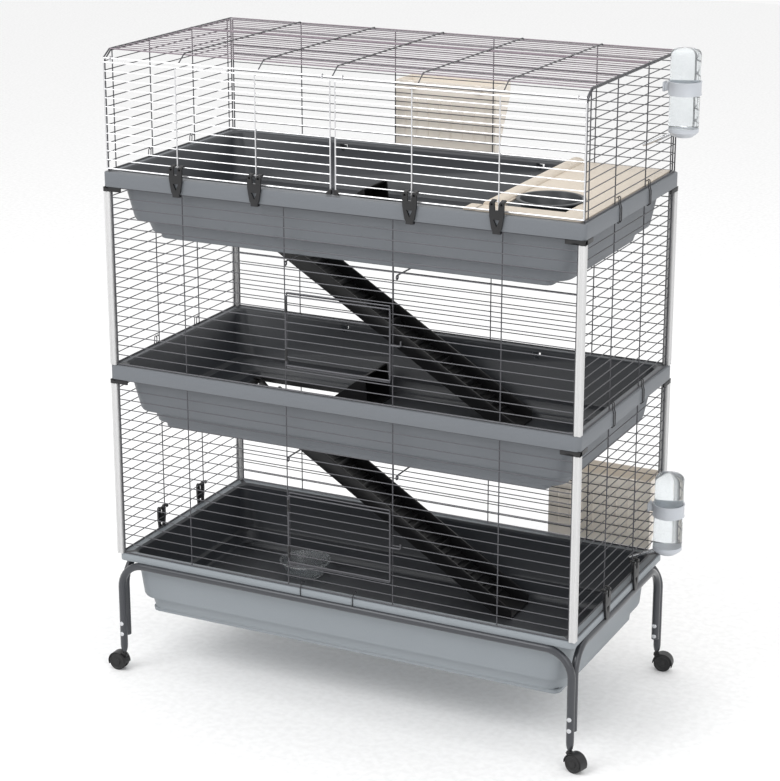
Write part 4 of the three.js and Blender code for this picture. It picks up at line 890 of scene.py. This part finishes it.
def disc_profile(sign):
    """A dished disc from its inner face out, with a rounded tread and a recessed hub."""
    rows = [(0, 3.2), (5.0, 3.2), (5.4, 4), (20.4, 4), (21.2, 4.6), (TREAD, 6), (TREAD, 10),
            (20.8, 11.3), (19.6, 12), (17, 12), (15.8, 10.8), (8.4, 10.2), (7.4, 12),
            (6.6, 12.2), (0, 12.2)]
    return [(r, sign * y) for r, y in rows]


for corner, sx, sy, heading in (("front_left", -1, -1, 180), ("front_right", 1, -1, -16),
                                ("back_left", -1, 1, 168), ("back_right", 1, 1, 8)):
    turn = Matrix.Rotation(math.radians(heading), 3, "Z")
    across = turn @ TO_BACK
    stem_foot = at(sx * LEG_X, sy * LONG_Y, 0)
    hub = stem_foot + turn @ Vector((TRAIL, 0, TREAD)) / 1000
    discs, hood, stem, neck = bmesh.new(), bmesh.new(), bmesh.new(), bmesh.new()
    for sign in (-1, 1):
        add_turned(discs, disc_profile(sign), hub, across, 48, False)
    publish(f"caster_discs_{corner}", [(shaped(discs), black_tyre)], f"{corner}_wheel",
            [f"caster_wheel_{corner}"], smooth=30)

    for y0, y1, low_r, high_r in ((-12, 12, 22.4, 24.6), (-3.4, 3.4, 5.6, 23.8)):
        arc = [math.radians(-22 + 205 * i / 24) for i in range(25)]
        outline = [(r * math.cos(a), r * math.sin(a)) for r, row in
                   ((high_r, arc), (low_r, arc[::-1])) for a in row]
        add_rings(hood, [[hub + turn @ Vector((x, y, z)) / 1000 for x, z in outline]
                         for y in (y0, y0 + 0.6, y1 - 0.6, y1)])
    add_turned(stem, [(0, 40), (7.6, 40), (7.4, 43.5), (5.2, 45), (5, 49.6), (0, 49.6)],
               stem_foot, sides=24, close=False)
    add_rings(neck, [[stem_foot + turn @ Vector((x + dx, y, z)) / 1000 for x, y in
                      rounded_outline(w, d, 2.5, 4)]
                     for z, w, d, dx in ((30, 13, 6.6, 2.5), (38, 14, 12, 0.5), (41, 15, 15, 0))])
    publish(f"caster_hood_{corner}",
            of_one(black_plastic, shaped(hood, 0.5), shaped(stem), shaped(neck, 0.5)),
            f"{corner}_swivel", [f"caster_fork_{corner}"], smooth=35)

# %% [markdown]
# ## Rim clips
# Four black clips hang on a wire of the top doors and snap under the tray's rim. In the
# photograph each is a flat shield with a round foot, two prongs with round holes and a
# triangular window. It is a drawing in one plane, so a flat curve with holes, given a thickness
# and a bevel, is the simplest way to make it.

# %% Make the rim clips
def flat_plate(outlines, y, thickness, round_off=0.6):
    """A plate of (x, z) outlines, holes among them, with its front face at -Y of y."""
    curve = bpy.data.curves.new("plate", "CURVE")
    curve.dimensions, curve.fill_mode = "2D", "BOTH"
    curve.extrude = thickness / 2000 - round_off / 1000
    curve.bevel_depth, curve.bevel_resolution = round_off / 1000, 2
    curve.offset = -round_off / 1000
    for outline in outlines:
        line = curve.splines.new("POLY")
        line.points.add(len(outline) - 1)
        for point, (x, z) in zip(line.points, outline):
            point.co = (x / 1000, z / 1000, 0, 1)
        line.use_cyclic_u = True
    holder = bpy.data.objects.new("plate", curve)
    bpy.context.scene.collection.objects.link(holder)
    mesh = plain(holder)
    mesh.transform(Matrix.Translation(at(0, y, 0)) @ Matrix.Rotation(math.radians(90), 4, "X"))
    form = bmesh.new()
    form.from_mesh(mesh)
    bpy.data.meshes.remove(mesh)
    return shaped(form)


def arc(x, z, radius, start, end, steps=10):
    angles = [math.radians(start + (end - start) * i / steps) for i in range(steps + 1)]
    return [(x + radius * math.cos(a), z + radius * math.sin(a)) for a in angles]


WIRE_Z = DOOR_LOW + FRAME_GAUGE + (DOOR_HIGH - DOOR_LOW - 2 * FRAME_GAUGE) / DOOR_SPACES
CLIP_HEIGHT, RIM_FACE = 64.7, TRAY_DEPTH / 2


def clip_meshes(x, edge, wire, lip, wire_z):
    """A clip facing -Y: edge is the rim's face, wire the panel's middle, lip the skirt's foot."""
    def up(z):
        return lip + z * (wire_z + 3.1 - lip) / CLIP_HEIGHT

    shield = (arc(x, up(10), 12.5, 200, 340, 12) + [(x + 16.6, up(33)), (x + 17, up(48))]
              + arc(x + 11, up(58.5), 6, 0, 180, 8) + [(x + 4, up(45)), (x - 4, up(45))]
              + arc(x - 11, up(58.5), 6, 0, 180, 8) + [(x - 17, up(48)), (x - 16.6, up(33))])
    holes = [arc(x - 11, up(57.5), 2.6, 0, 330, 11), arc(x + 11, up(57.5), 2.6, 0, 330, 11),
             [(x - 7, up(25)), (x + 7, up(25)), (x, up(10))]]
    plate = flat_plate([shield] + holes, edge - 3.3, 5)
    hooks = bmesh.new()
    back = edge - 1.5
    for side in (-1, 1):
        a, b = sorted((x + side * 6.5, x + side * 15.5))
        outline = [(back, wire_z + 1.9), (wire, wire_z + 4.6), (wire + 4.4, wire_z + 2.2),
                   (wire + 4.6, wire_z - 3), (wire + 2.8, wire_z - 3), (wire + 2.4, wire_z + 1),
                   (wire - 0.2, wire_z + 2.4), (wire - 3.2, wire_z + 0.6),
                   (back, wire_z - 9.6)]
        add_rings(hooks, [[at(u, y, z) for y, z in outline] for u in (a, b)])
    foot = [(edge - 5, lip - 6), (edge - 5, lip + 1), (edge - 1.1, lip + 3), (edge - 0.9, lip - 1),
            (edge + 5, lip - 1.4), (edge + 5.5, lip - 5.6)]
    add_rings(hooks, [[at(u, y, z) for y, z in foot] for u in (x - 9, x + 9)])
    return plate, shaped(hooks, 0.4)


for number, x in enumerate((-392, -190, 190, 392), 1):
    plate, hooks = clip_meshes(x, -RIM_FACE, -PANEL_Y, TOP_RIM - UPPER_SKIRT, WIRE_Z)
    publish(f"rim_clip_plate_{number}", of_one(black_plastic, plate, hooks),
            f"clip_{number}", [f"rim_clip_{number}"], smooth=35)
print("clips done, hung on the wire at", round(WIRE_Z, 1), "mm")

# %% [markdown]
# ## Ramps
# A ramp is one black moulding: two side walls, a plate between them and a row of treads. It
# stands on the tray floor below and hooks over the edge of the passage above. The side walls are
# an outline carried across, and the treads are one small ridge repeated up the slope.

# %% Make the ramps
RAMP_NEAR, RAMP_FAR, RAMP_FOOT, RAMP_TOE, RAMP_HEAD = 88, 198, 245, 279, -432
RAMP_SIDE, RAMP_WALL, TREADS, TREAD_HALF = 38, 4, 10, 51.5
HOOK_END, HOOK_BEND, HEAD_DROP = -477, -460, 41


def draw_tread(form):
    add_prism(form, [(-5, 1), (7, 0), (5.4, 8), (4.4, 13.4), (2.6, 13.4), (-1, 7)],
              -TREAD_HALF, TREAD_HALF)


def draw_fine_rib(form):
    add_prism(form, [(-2, 4), (3, 1), (1.6, 5.4), (0, 5.8)], -TREAD_HALF, TREAD_HALF)


for name, foot_rim, head_rim in (("lower", BOTTOM_RIM, MIDDLE_RIM), ("upper", MIDDLE_RIM, TOP_RIM)):
    foot_z, head_floor = foot_rim - FLOOR_DROP + FIT, head_rim - FLOOR_DROP
    slope = (head_floor - HEAD_DROP - foot_z) / (RAMP_FOOT - RAMP_HEAD)
    lean = math.atan(slope)
    rise = RAMP_SIDE / math.cos(lean)
    cut_x = RAMP_HEAD + RAMP_SIDE * math.sin(lean)

    def under(x):
        return foot_z + (RAMP_FOOT - x) * slope

    side = [(RAMP_FOOT, foot_z), (RAMP_TOE, foot_z), (RAMP_TOE, under(RAMP_TOE) + rise + 2),
            (RAMP_TOE - 5, under(RAMP_TOE - 5) + rise + 1), (cut_x + 4, under(cut_x + 4) + rise),
            (cut_x, under(cut_x) + rise - 3), (RAMP_HEAD, under(RAMP_HEAD))]
    form = bmesh.new()
    add_prism(form, side, RAMP_NEAR, RAMP_NEAR + RAMP_WALL)
    add_prism(form, side, RAMP_FAR - RAMP_WALL, RAMP_FAR)
    head = RAMP_HEAD + 8
    plate = [(RAMP_FOOT, foot_z), (RAMP_TOE, foot_z), (RAMP_TOE, foot_z + 5),
             (RAMP_FOOT - 8, under(RAMP_FOOT) + 12), (head, under(head) + 12),
             (head, under(head) + 8), (RAMP_FOOT - 8, under(RAMP_FOOT - 8) + 2)]
    add_prism(form, plate, RAMP_NEAR + RAMP_WALL - 0.4, RAMP_FAR - RAMP_WALL + 0.4)
    hook_z = head_floor + 3
    arm = [(cut_x, under(cut_x) + 9), (cut_x, under(cut_x) + 15), (HOOK_BEND + 4, hook_z + 4),
           (HOOK_END, hook_z + 4), (HOOK_END, hook_z), (HOOK_BEND, hook_z),
           (HOOK_BEND, hook_z - 16)]
    for y in (RAMP_NEAR + 8, RAMP_FAR - 18):
        add_prism(form, arm, y, y + 10)
    middle_y = (RAMP_NEAR + RAMP_FAR) / 2
    run = (RAMP_FOOT - RAMP_HEAD) / TREADS
    steps = [RAMP_FOOT - run * (i - 0.3) for i in range(1, TREADS + 1)]
    treads = repeated(drawn_at_origin(draw_tread, 0.5),
                      [at(x, middle_y, under(x) + 8) for x in steps], black_plastic)
    fine = [x + run * k / 4 for x in steps for k in (1, 2, 3) if x + run * k / 4 < RAMP_FOOT - 20]
    ribs = repeated(drawn_at_origin(draw_fine_rib),
                    [at(x, middle_y, under(x) + 8) for x in fine], black_plastic)
    publish(f"{name}_ramp_moulding", of_one(black_plastic, shaped(form, 0.8), treads, ribs),
            "cage", [f"{name}_ramp"], smooth=35)

# %% [markdown]
# ## Passage collars
# A black collar lines each hole in a tray floor. At its right-hand end it rises in a wedge, a
# slanted plate between two cheeks, which keeps an animal on the tray from stepping into the
# hole. The collar is a box with a Boolean hole, and the wedge is three carried outlines.

# %% Make the collars
COLLAR_EDGE, COLLAR_END, GUARD_FOOT, GUARD_HEIGHT, GUARD_WALL = 9, -98, -102, 88, 3

for name, rim in (("middle", MIDDLE_RIM), ("top", TOP_RIM)):
    floor = rim - FLOOR_DROP + FIT
    x0, x1 = PASSAGE_LEFT + FIT, PASSAGE_RIGHT - FIT
    y0, y1 = PASSAGE_NEAR + FIT, PASSAGE_FAR - FIT
    form, left_end = bmesh.new(), x0 - COLLAR_EDGE
    add_slab(form, (left_end + COLLAR_END) / 2, (y0 + y1) / 2, rounded_outline(
        COLLAR_END - left_end, y1 - y0 + 2 * COLLAR_EDGE, 5, 4), (floor, floor + 2.4))
    flange = shaped(form, 0.6, cutters=[box_mesh(x0 + 1, x1 - 1, y0 + 1, y1 - 1, floor - 9,
                                                 floor + 9)])
    lining = bmesh.new()
    add_box(lining, x0, x1, y0, y1, floor - 8, floor + 1)
    sleeve = shaped(lining, cutters=[box_mesh(x0 + 2, x1 - 2, y0 + 2, y1 - 2, floor - 20,
                                              floor + 20)])
    foot, tip = floor + 1.4, floor + GUARD_HEIGHT
    cheek = [(x1, foot), (GUARD_FOOT, foot), (-110, tip - 1), (-111.5, tip), (-114, tip),
             (-116, tip - 2)]
    slant = [(x1, foot), (x1 + 6, foot), (-109.5, tip - 3), (-110, tip), (-115, tip)]
    guard = bmesh.new()
    add_prism(guard, cheek, y0, y0 + GUARD_WALL)
    add_prism(guard, cheek, y1 - GUARD_WALL, y1)
    add_prism(guard, slant, y0 + GUARD_WALL - 0.4, y1 - GUARD_WALL + 0.4)
    publish(f"{name}_collar_moulding",
            of_one(black_plastic, flange, sleeve, shaped(guard, 0.8)),
            "cage", [f"{name}_passage_collar"], smooth=35)

# %% [markdown]
# ## Support rods and rim hooks
# Two wire rods run under each upper tray from front to back, and their front ends are curled in
# a ring. At the two ends of the cage, pairs of small spring hooks hold the side panels to the
# rims. All are bent wire, so a path is all they need.

# %% Make the rods and hooks
CURL, HOOK_GAUGE = 4.5, 1.1

for tray, rim in (("middle", MIDDLE_RIM), ("top", TOP_RIM)):
    z = rim - 162.1
    for name, x in (("left", -125), ("right", 151)):
        loop = [at(x, -275.5 + CURL * math.sin(a), z - CURL + CURL * math.cos(a))
                for a in (math.radians(-300 * i / 12) for i in range(13))]
        path = [at(x, 279.4, z), at(x, -270, z)] + loop
        publish_wires(f"{tray}_rod_{name}", [(path, FRAME_GAUGE)], dark_wire_coat, "cage",
                      [f"{tray}_support_rod_{name}"], sides=8)


def rim_hook(side, y, rim, rise=16):
    """A spring hook over an end rim: up the outside, over the edge and round a panel wire."""
    low = -UPPER_SKIRT
    rows = [(2, rise), (4.6, rise + 4), (7.5, rise), (8.2, 3), (11, -6), (11, low),
            (8, low - 5), (4.5, low - 2)]
    return bent([at(side * (TRAY_LENGTH / 2 + out - 9), y, rim + up) for out, up in rows], 3)


hooks = [(rim_hook(side, y + off, rim), HOOK_GAUGE) for rim in (MIDDLE_RIM, TOP_RIM)
         for y in SIDE_UPRIGHTS for side in (1, -1) for off in (-5, 5)]
publish_wires("rim_spring_hooks", hooks, black_wire_coat, "cage", smooth=32)

# %% [markdown]
# ## Side clips, door feet and front hooks
# The same moulded clip also holds the lowest side panels to the bottom rim, two on each side, so
# it is made again facing front and turned a quarter round the cage's middle. Two thin wire hooks
# hold the front panel to that rim, and small black feet close the gap between the top doors.

# %% Make the small fittings
wall_height = MIDDLE_RIM - UPPER_SKIRT - BOTTOM_RIM - 2 * FIT
panel_wire_z = (BOTTOM_RIM + FIT + FRAME_GAUGE
                + 2 * (wall_height - 2 * FRAME_GAUGE) / WALL_SPACES)
middle_point = at(0, 0, 0)
side_clips = []
for side in (-1, 1):
    turn = (Matrix.Translation(middle_point) @ Matrix.Rotation(math.radians(side * 90), 4, "Z")
            @ Matrix.Translation(-middle_point))
    for y in SIDE_UPRIGHTS:
        for mesh in clip_meshes(side * y, -BOTTOM_LENGTH / 2, -PANEL_X,
                                BOTTOM_RIM - BOTTOM_SKIRT, panel_wire_z):
            mesh.transform(turn)
            side_clips.append(mesh)
publish("bottom_side_clips", of_one(black_plastic, *side_clips), "cage",
        smooth=35)

hooks = [(bent([at(x + aside, y, z) for aside, y, z in (
    (0, -287.6, 283), (0, -290.6, 288), (0, -290.6, 308), (3, -286.6, 322), (5, -282, 326),
    (5, -280.6, 318))], 3), HOOK_GAUGE) for x in (-90, 45)]
publish_wires("bottom_front_hooks", hooks, black_wire_coat, "cage", smooth=32)
for name, sign in (("left", -1), ("right", 1)):
    foot = bmesh.new()
    outline = [(sign * 3.0, 1244.2), (sign * 17, 1244.2), (sign * 15, 1248.6),
               (sign * 7.6, 1256), (sign * 3.0, 1256)]
    add_prism(foot, outline, -288.6, -280)
    publish(f"top_door_foot_{name}", [(shaped(foot, 0.8), black_plastic)],
            f"top_{name}_door_leaf", smooth=35)

# %% [markdown]
# ## The shelf and the bowls
# The shelf is a beige plate on the right-hand end of the top tray, with a fat ridge along its
# left edge and a bay in front for the food bowl. Bowls are turned forms: one outline from the
# foot out, over the lip and back down inside, swept round an axis.

# %% Make the shelf and the bowls
shelf_z, shelf_top = TOP_RIM + FIT, TOP_RIM + FIT + 4
BOWL_X, BOWL_Y, BAY = 443, -121, 73
plate, bay, tab, ridge = bmesh.new(), bmesh.new(), bmesh.new(), bmesh.new()
add_slab(plate, 452.75, 0, rounded_outline(245.5, 554, 8, 5), (shelf_z, shelf_top))
add_turned(bay, [(BAY, -20), (BAY, 20)], at(BOWL_X, BOWL_Y, shelf_top), sides=64, close=False)
board = shaped(plate, 1.2, 3, cutters=[
    shaped(bay), box_mesh(BOWL_X - BAY, BOWL_X + BAY, BOWL_Y - 98, BOWL_Y, shelf_z - 16,
                          shelf_top + 20)])
add_slab(tab, 319, -252, rounded_outline(30, 50, 5, 4), (shelf_z, shelf_top))
half_round = [(330 + 18 * (1 + math.cos(a)), shelf_top - 1 + 11 * math.sin(a))
              for a in (math.pi * i / 12 for i in range(13))]
add_prism(ridge, half_round, -227, 277)
publish("shelf_board", of_one(beige_plastic, board, shaped(tab, 1.2, 3), shaped(ridge, 2.0, 3)),
        "cage", ["shelf"], smooth=35)

bowl = bmesh.new()
rim_z = 1248.6
add_turned(bowl, [(0, rim_z - 46), (54, rim_z - 46), (56.5, rim_z - 45), (68.5, rim_z - 6),
                  (69.3, rim_z - 3), (75.4, rim_z - 3), (76, rim_z - 2.2), (75.6, rim_z - 0.6),
                  (74, rim_z), (68.6, rim_z), (67, rim_z - 0.8), (66, rim_z - 4),
                  (54.5, rim_z - 41), (51, rim_z - 43.4), (0, rim_z - 43.6)],
           at(BOWL_X, BOWL_Y, 0), sides=72, close=False)
publish("food_bowl_turned", [(shaped(bowl), charcoal_plastic)], "food_bowl_body",
        ["food_bowl"])
bowl = bmesh.new()
rim_z, low = 185.3, 149.3
add_turned(bowl, [(0, low), (46, low), (48, low + 0.8), (58.5, rim_z - 6), (60, rim_z - 3),
                  (65.4, rim_z - 3), (66, rim_z - 2), (65.6, rim_z - 0.5), (64, rim_z),
                  (58, rim_z), (56.6, rim_z - 1), (55.4, rim_z - 4), (46.4, low + 4.4),
                  (44, low + 3), (0, low + 3)], at(-305, 130, 0), sides=64, close=False)
publish("clear_bowl_turned", [(shaped(bowl), clear_plastic)], "clear_bowl_body",
        ["clear_bowl"])

# %% [markdown]
# ## Drinking bottles
# A clear bottle hangs on the right side of the top and the lower level, in a pale clamp that
# hooks on the panel, with a steel spout that slopes down between the wires. The bottle is
# turned, with a moulded shoulder and one shallow waist where the clamp grips it.

# %% Make the bottles
BOTTLE_X, BOTTLE_Y, BODY, SPOUT_SLOPE = 632, 185, 34, math.radians(26)
for name, foot in (("upper", 1344), ("lower", 351)):
    flask = bmesh.new()
    top = foot + 196.9
    rows = [(0, foot + 20), (30, foot + 20), (33, foot + 22), (BODY, foot + 26),
            (BODY, foot + 88), (BODY - 0.8, foot + 92), (BODY - 0.8, foot + 128),
            (BODY, foot + 132), (BODY, top - 12), (32.6, top - 7), (28, top - 2.5),
            (22, top - 0.6), (0, top)]
    add_turned(flask, rows, at(BOTTLE_X, BOTTLE_Y, 0), sides=48, close=False)
    cap = bmesh.new()
    add_turned(cap, [(0, foot), (18, foot), (21, foot + 0.8), (30, foot + 8), (BODY, foot + 12),
                     (BODY, foot + 19), (33, foot + 20.4), (0, foot + 20.4)],
               at(BOTTLE_X, BOTTLE_Y, 0), sides=48, close=False)
    tube = bmesh.new()
    aim = Vector((-math.cos(SPOUT_SLOPE), 0, -math.sin(SPOUT_SLOPE)))
    turn = aim.to_track_quat("Z", "Y").to_matrix()
    add_turned(tube, [(0, 8), (3.9, 8), (3.9, 78), (3.5, 90), (2.6, 94.5), (0, 95.6)],
               at(BOTTLE_X - 8, BOTTLE_Y, foot + 14), turn, 20, False)
    publish(f"{name}_bottle_flask", [(shaped(flask), clear_plastic), (shaped(cap), pale_plastic),
                                     (shaped(tube), steel_bolt)],
            f"{name}_bottle_body", [f"{name}_bottle"], smooth=35)
    ring_z = foot + 95
    ring = bmesh.new()
    add_turned(ring, [(34.3, ring_z + 1), (34.8, ring_z), (37.4, ring_z), (37.8, ring_z + 1),
                      (36.6, ring_z + 4), (36.6, ring_z + 26), (37.8, ring_z + 29),
                      (37.4, ring_z + 30), (34.8, ring_z + 30), (34.3, ring_z + 29)],
               at(BOTTLE_X, BOTTLE_Y, 0), sides=48)
    arm = bmesh.new()
    add_rings(arm, [[at(x, BOTTLE_Y + y, ring_z + 15 + z) for y, z in
                     rounded_outline(24 * k, 22 * k, 4, 4)] for x, k in
                    ((583.7, 1.0), (587.5, 1.0), (589, 0.8), (596, 0.8))])
    publish(f"{name}_bottle_ring", of_one(pale_plastic, shaped(ring), shaped(arm, 0.6)),
            f"{name}_bottle_body", [f"{name}_bottle_clamp"], smooth=35)

# %% [markdown]
# ## Hay racks
# Two beige troughs hang on the back, at the top and at the bottom. Each is a folded plate with
# ends, open at the top, and it hangs by two hooks on a panel wire. An outer and an inner profile
# give the trough its wall, and a Boolean takes the inside out.

# %% Make the hay racks
RACK_NEAR, RACK_FAR, RACK_HEIGHT, RACK_HALF, RACK_WALL = 293.5, 383.5, 172, 131, 2.5


def carried_across(outline, x, half):
    """A bmesh of (y, z) points carried half to the left and half to the right of x."""
    form = bmesh.new()
    add_rings(form, [[at(u, y, z) for y, z in outline] for u in (x - half, x + half)])
    return form


def draw_rack_rib(form):
    add_rings(form, [[at(u, y, z) for y, z in ((-1.0, -50), (-1.0, 50), (1.1, 46), (1.1, -46))]
                     for u in (-1.6, 1.6)])


for name, x, top in (("upper", 0, 1399), ("lower", 418, 478)):
    low, wall = top - RACK_HEIGHT, RACK_WALL
    outer = [(RACK_NEAR, low), (RACK_NEAR + 16, low), (RACK_FAR, top - 30), (RACK_FAR, top),
             (RACK_NEAR, top)]
    inner = [(RACK_NEAR + wall, low + wall), (RACK_NEAR + 15, low + wall),
             (RACK_FAR - wall, top - 29), (RACK_FAR - wall, top + 9), (RACK_NEAR + wall, top + 9)]
    hollow = shaped(carried_across(inner, x, RACK_HALF - wall))
    shell = shaped(carried_across(outer, x, RACK_HALF), 1.0, 3, cutters=[hollow])
    hangers = bmesh.new()
    for u in (x - RACK_HALF * 2 / 3, x + RACK_HALF * 2 / 3):
        add_box(hangers, u - 8, u + 8, 286.2, 294.5, top - 20, top)
    ribs = repeated(drawn_at_origin(draw_rack_rib, 0.3),
                    [at(x - 105 + 30 * i, RACK_NEAR - 0.7, top - 90) for i in range(8)],
                    rack_beige_painted_light)
    # The troughs' lightened beige is painted light that brightens them in their shade.
    publish(f"{name}_hay_trough", of_one(rack_beige_painted_light, shell, shaped(hangers, 0.8), ribs),
            f"{name}_rack_body", [f"{name}_hay_rack"], smooth=35)

# %% [markdown]
# ## Floor, light and camera
# The object is photographed on white under big soft lights, so a large pale floor and three
# area lights do the same. The camera stands where the photograph's did, which was worked out
# from the cage's own edges: its distance sets the perspective, and a long lens frames it. The
# photograph's uprights were straightened after it was taken, which a small shift copies in part.

# %% Make the floor
FLOOR_HALF = 12
sheet = bpy.data.meshes.new("floor")
sheet.from_pydata([(x * FLOOR_HALF, y * FLOOR_HALF, 0) for x, y in
                   ((-1, -1), (1, -1), (1, 1), (-1, 1))], [], [(0, 1, 2, 3)])
paper = new_finish("paper", (0.96, 0.96, 0.96, 1), 0.8, 0.02, 60.0, 0.0)
sheet.materials.append(paper)
floor = bpy.data.objects.new("floor", sheet)
bpy.context.scene.collection.objects.link(floor)

# %% Light it
world = bpy.data.worlds.new("studio")
world.use_nodes = True
world.node_tree.nodes["Background"].inputs[0].default_value = (1.0, 1.0, 1.0, 1)
world.node_tree.nodes["Background"].inputs[1].default_value = 0.95
bpy.context.scene.world = world
for name, power, size, place in (("key", 95, 3.0, (-1.8, -3.4, 4.2)),
                                 ("fill", 45, 3.5, (3.4, -2.6, 2.6)),
                                 ("top", 35, 3.0, (0.0, 0.6, 4.4))):
    lamp = bpy.data.lights.new(name, "AREA")
    lamp.energy, lamp.size = power, size
    light = bpy.data.objects.new(name, lamp)
    bpy.context.scene.collection.objects.link(light)
    light.location = place
    light.rotation_euler = (at(0, 0, 750) - Vector(place)).to_track_quat("-Z", "Y").to_euler()

# %% Set up the camera
bpy.context.scene.view_settings.view_transform = "Standard"
FOCAL, SHIFT, SIZE = 2155, -60, 781  # in pixels of the photograph
YAW, PITCH = math.radians(26.21), math.radians(16.34)
lens = bpy.data.cameras.new("camera")
lens.sensor_width, lens.lens = 36, FOCAL / SIZE * 36
lens.shift_y = SHIFT / SIZE
lens.clip_start, lens.clip_end = 0.1, 60
camera = bpy.data.objects.new("camera", lens)
bpy.context.scene.collection.objects.link(camera)
camera.location = at(2129, -4329, 2277)
back_way = Vector((math.sin(YAW) * math.cos(PITCH), -math.cos(YAW) * math.cos(PITCH),
                   math.sin(PITCH)))
camera.rotation_euler = back_way.to_track_quat("Z", "Y").to_euler()
bpy.context.scene.camera = camera
print("camera at", [round(v, 3) for v in camera.location], "lens", round(lens.lens, 1), "mm")
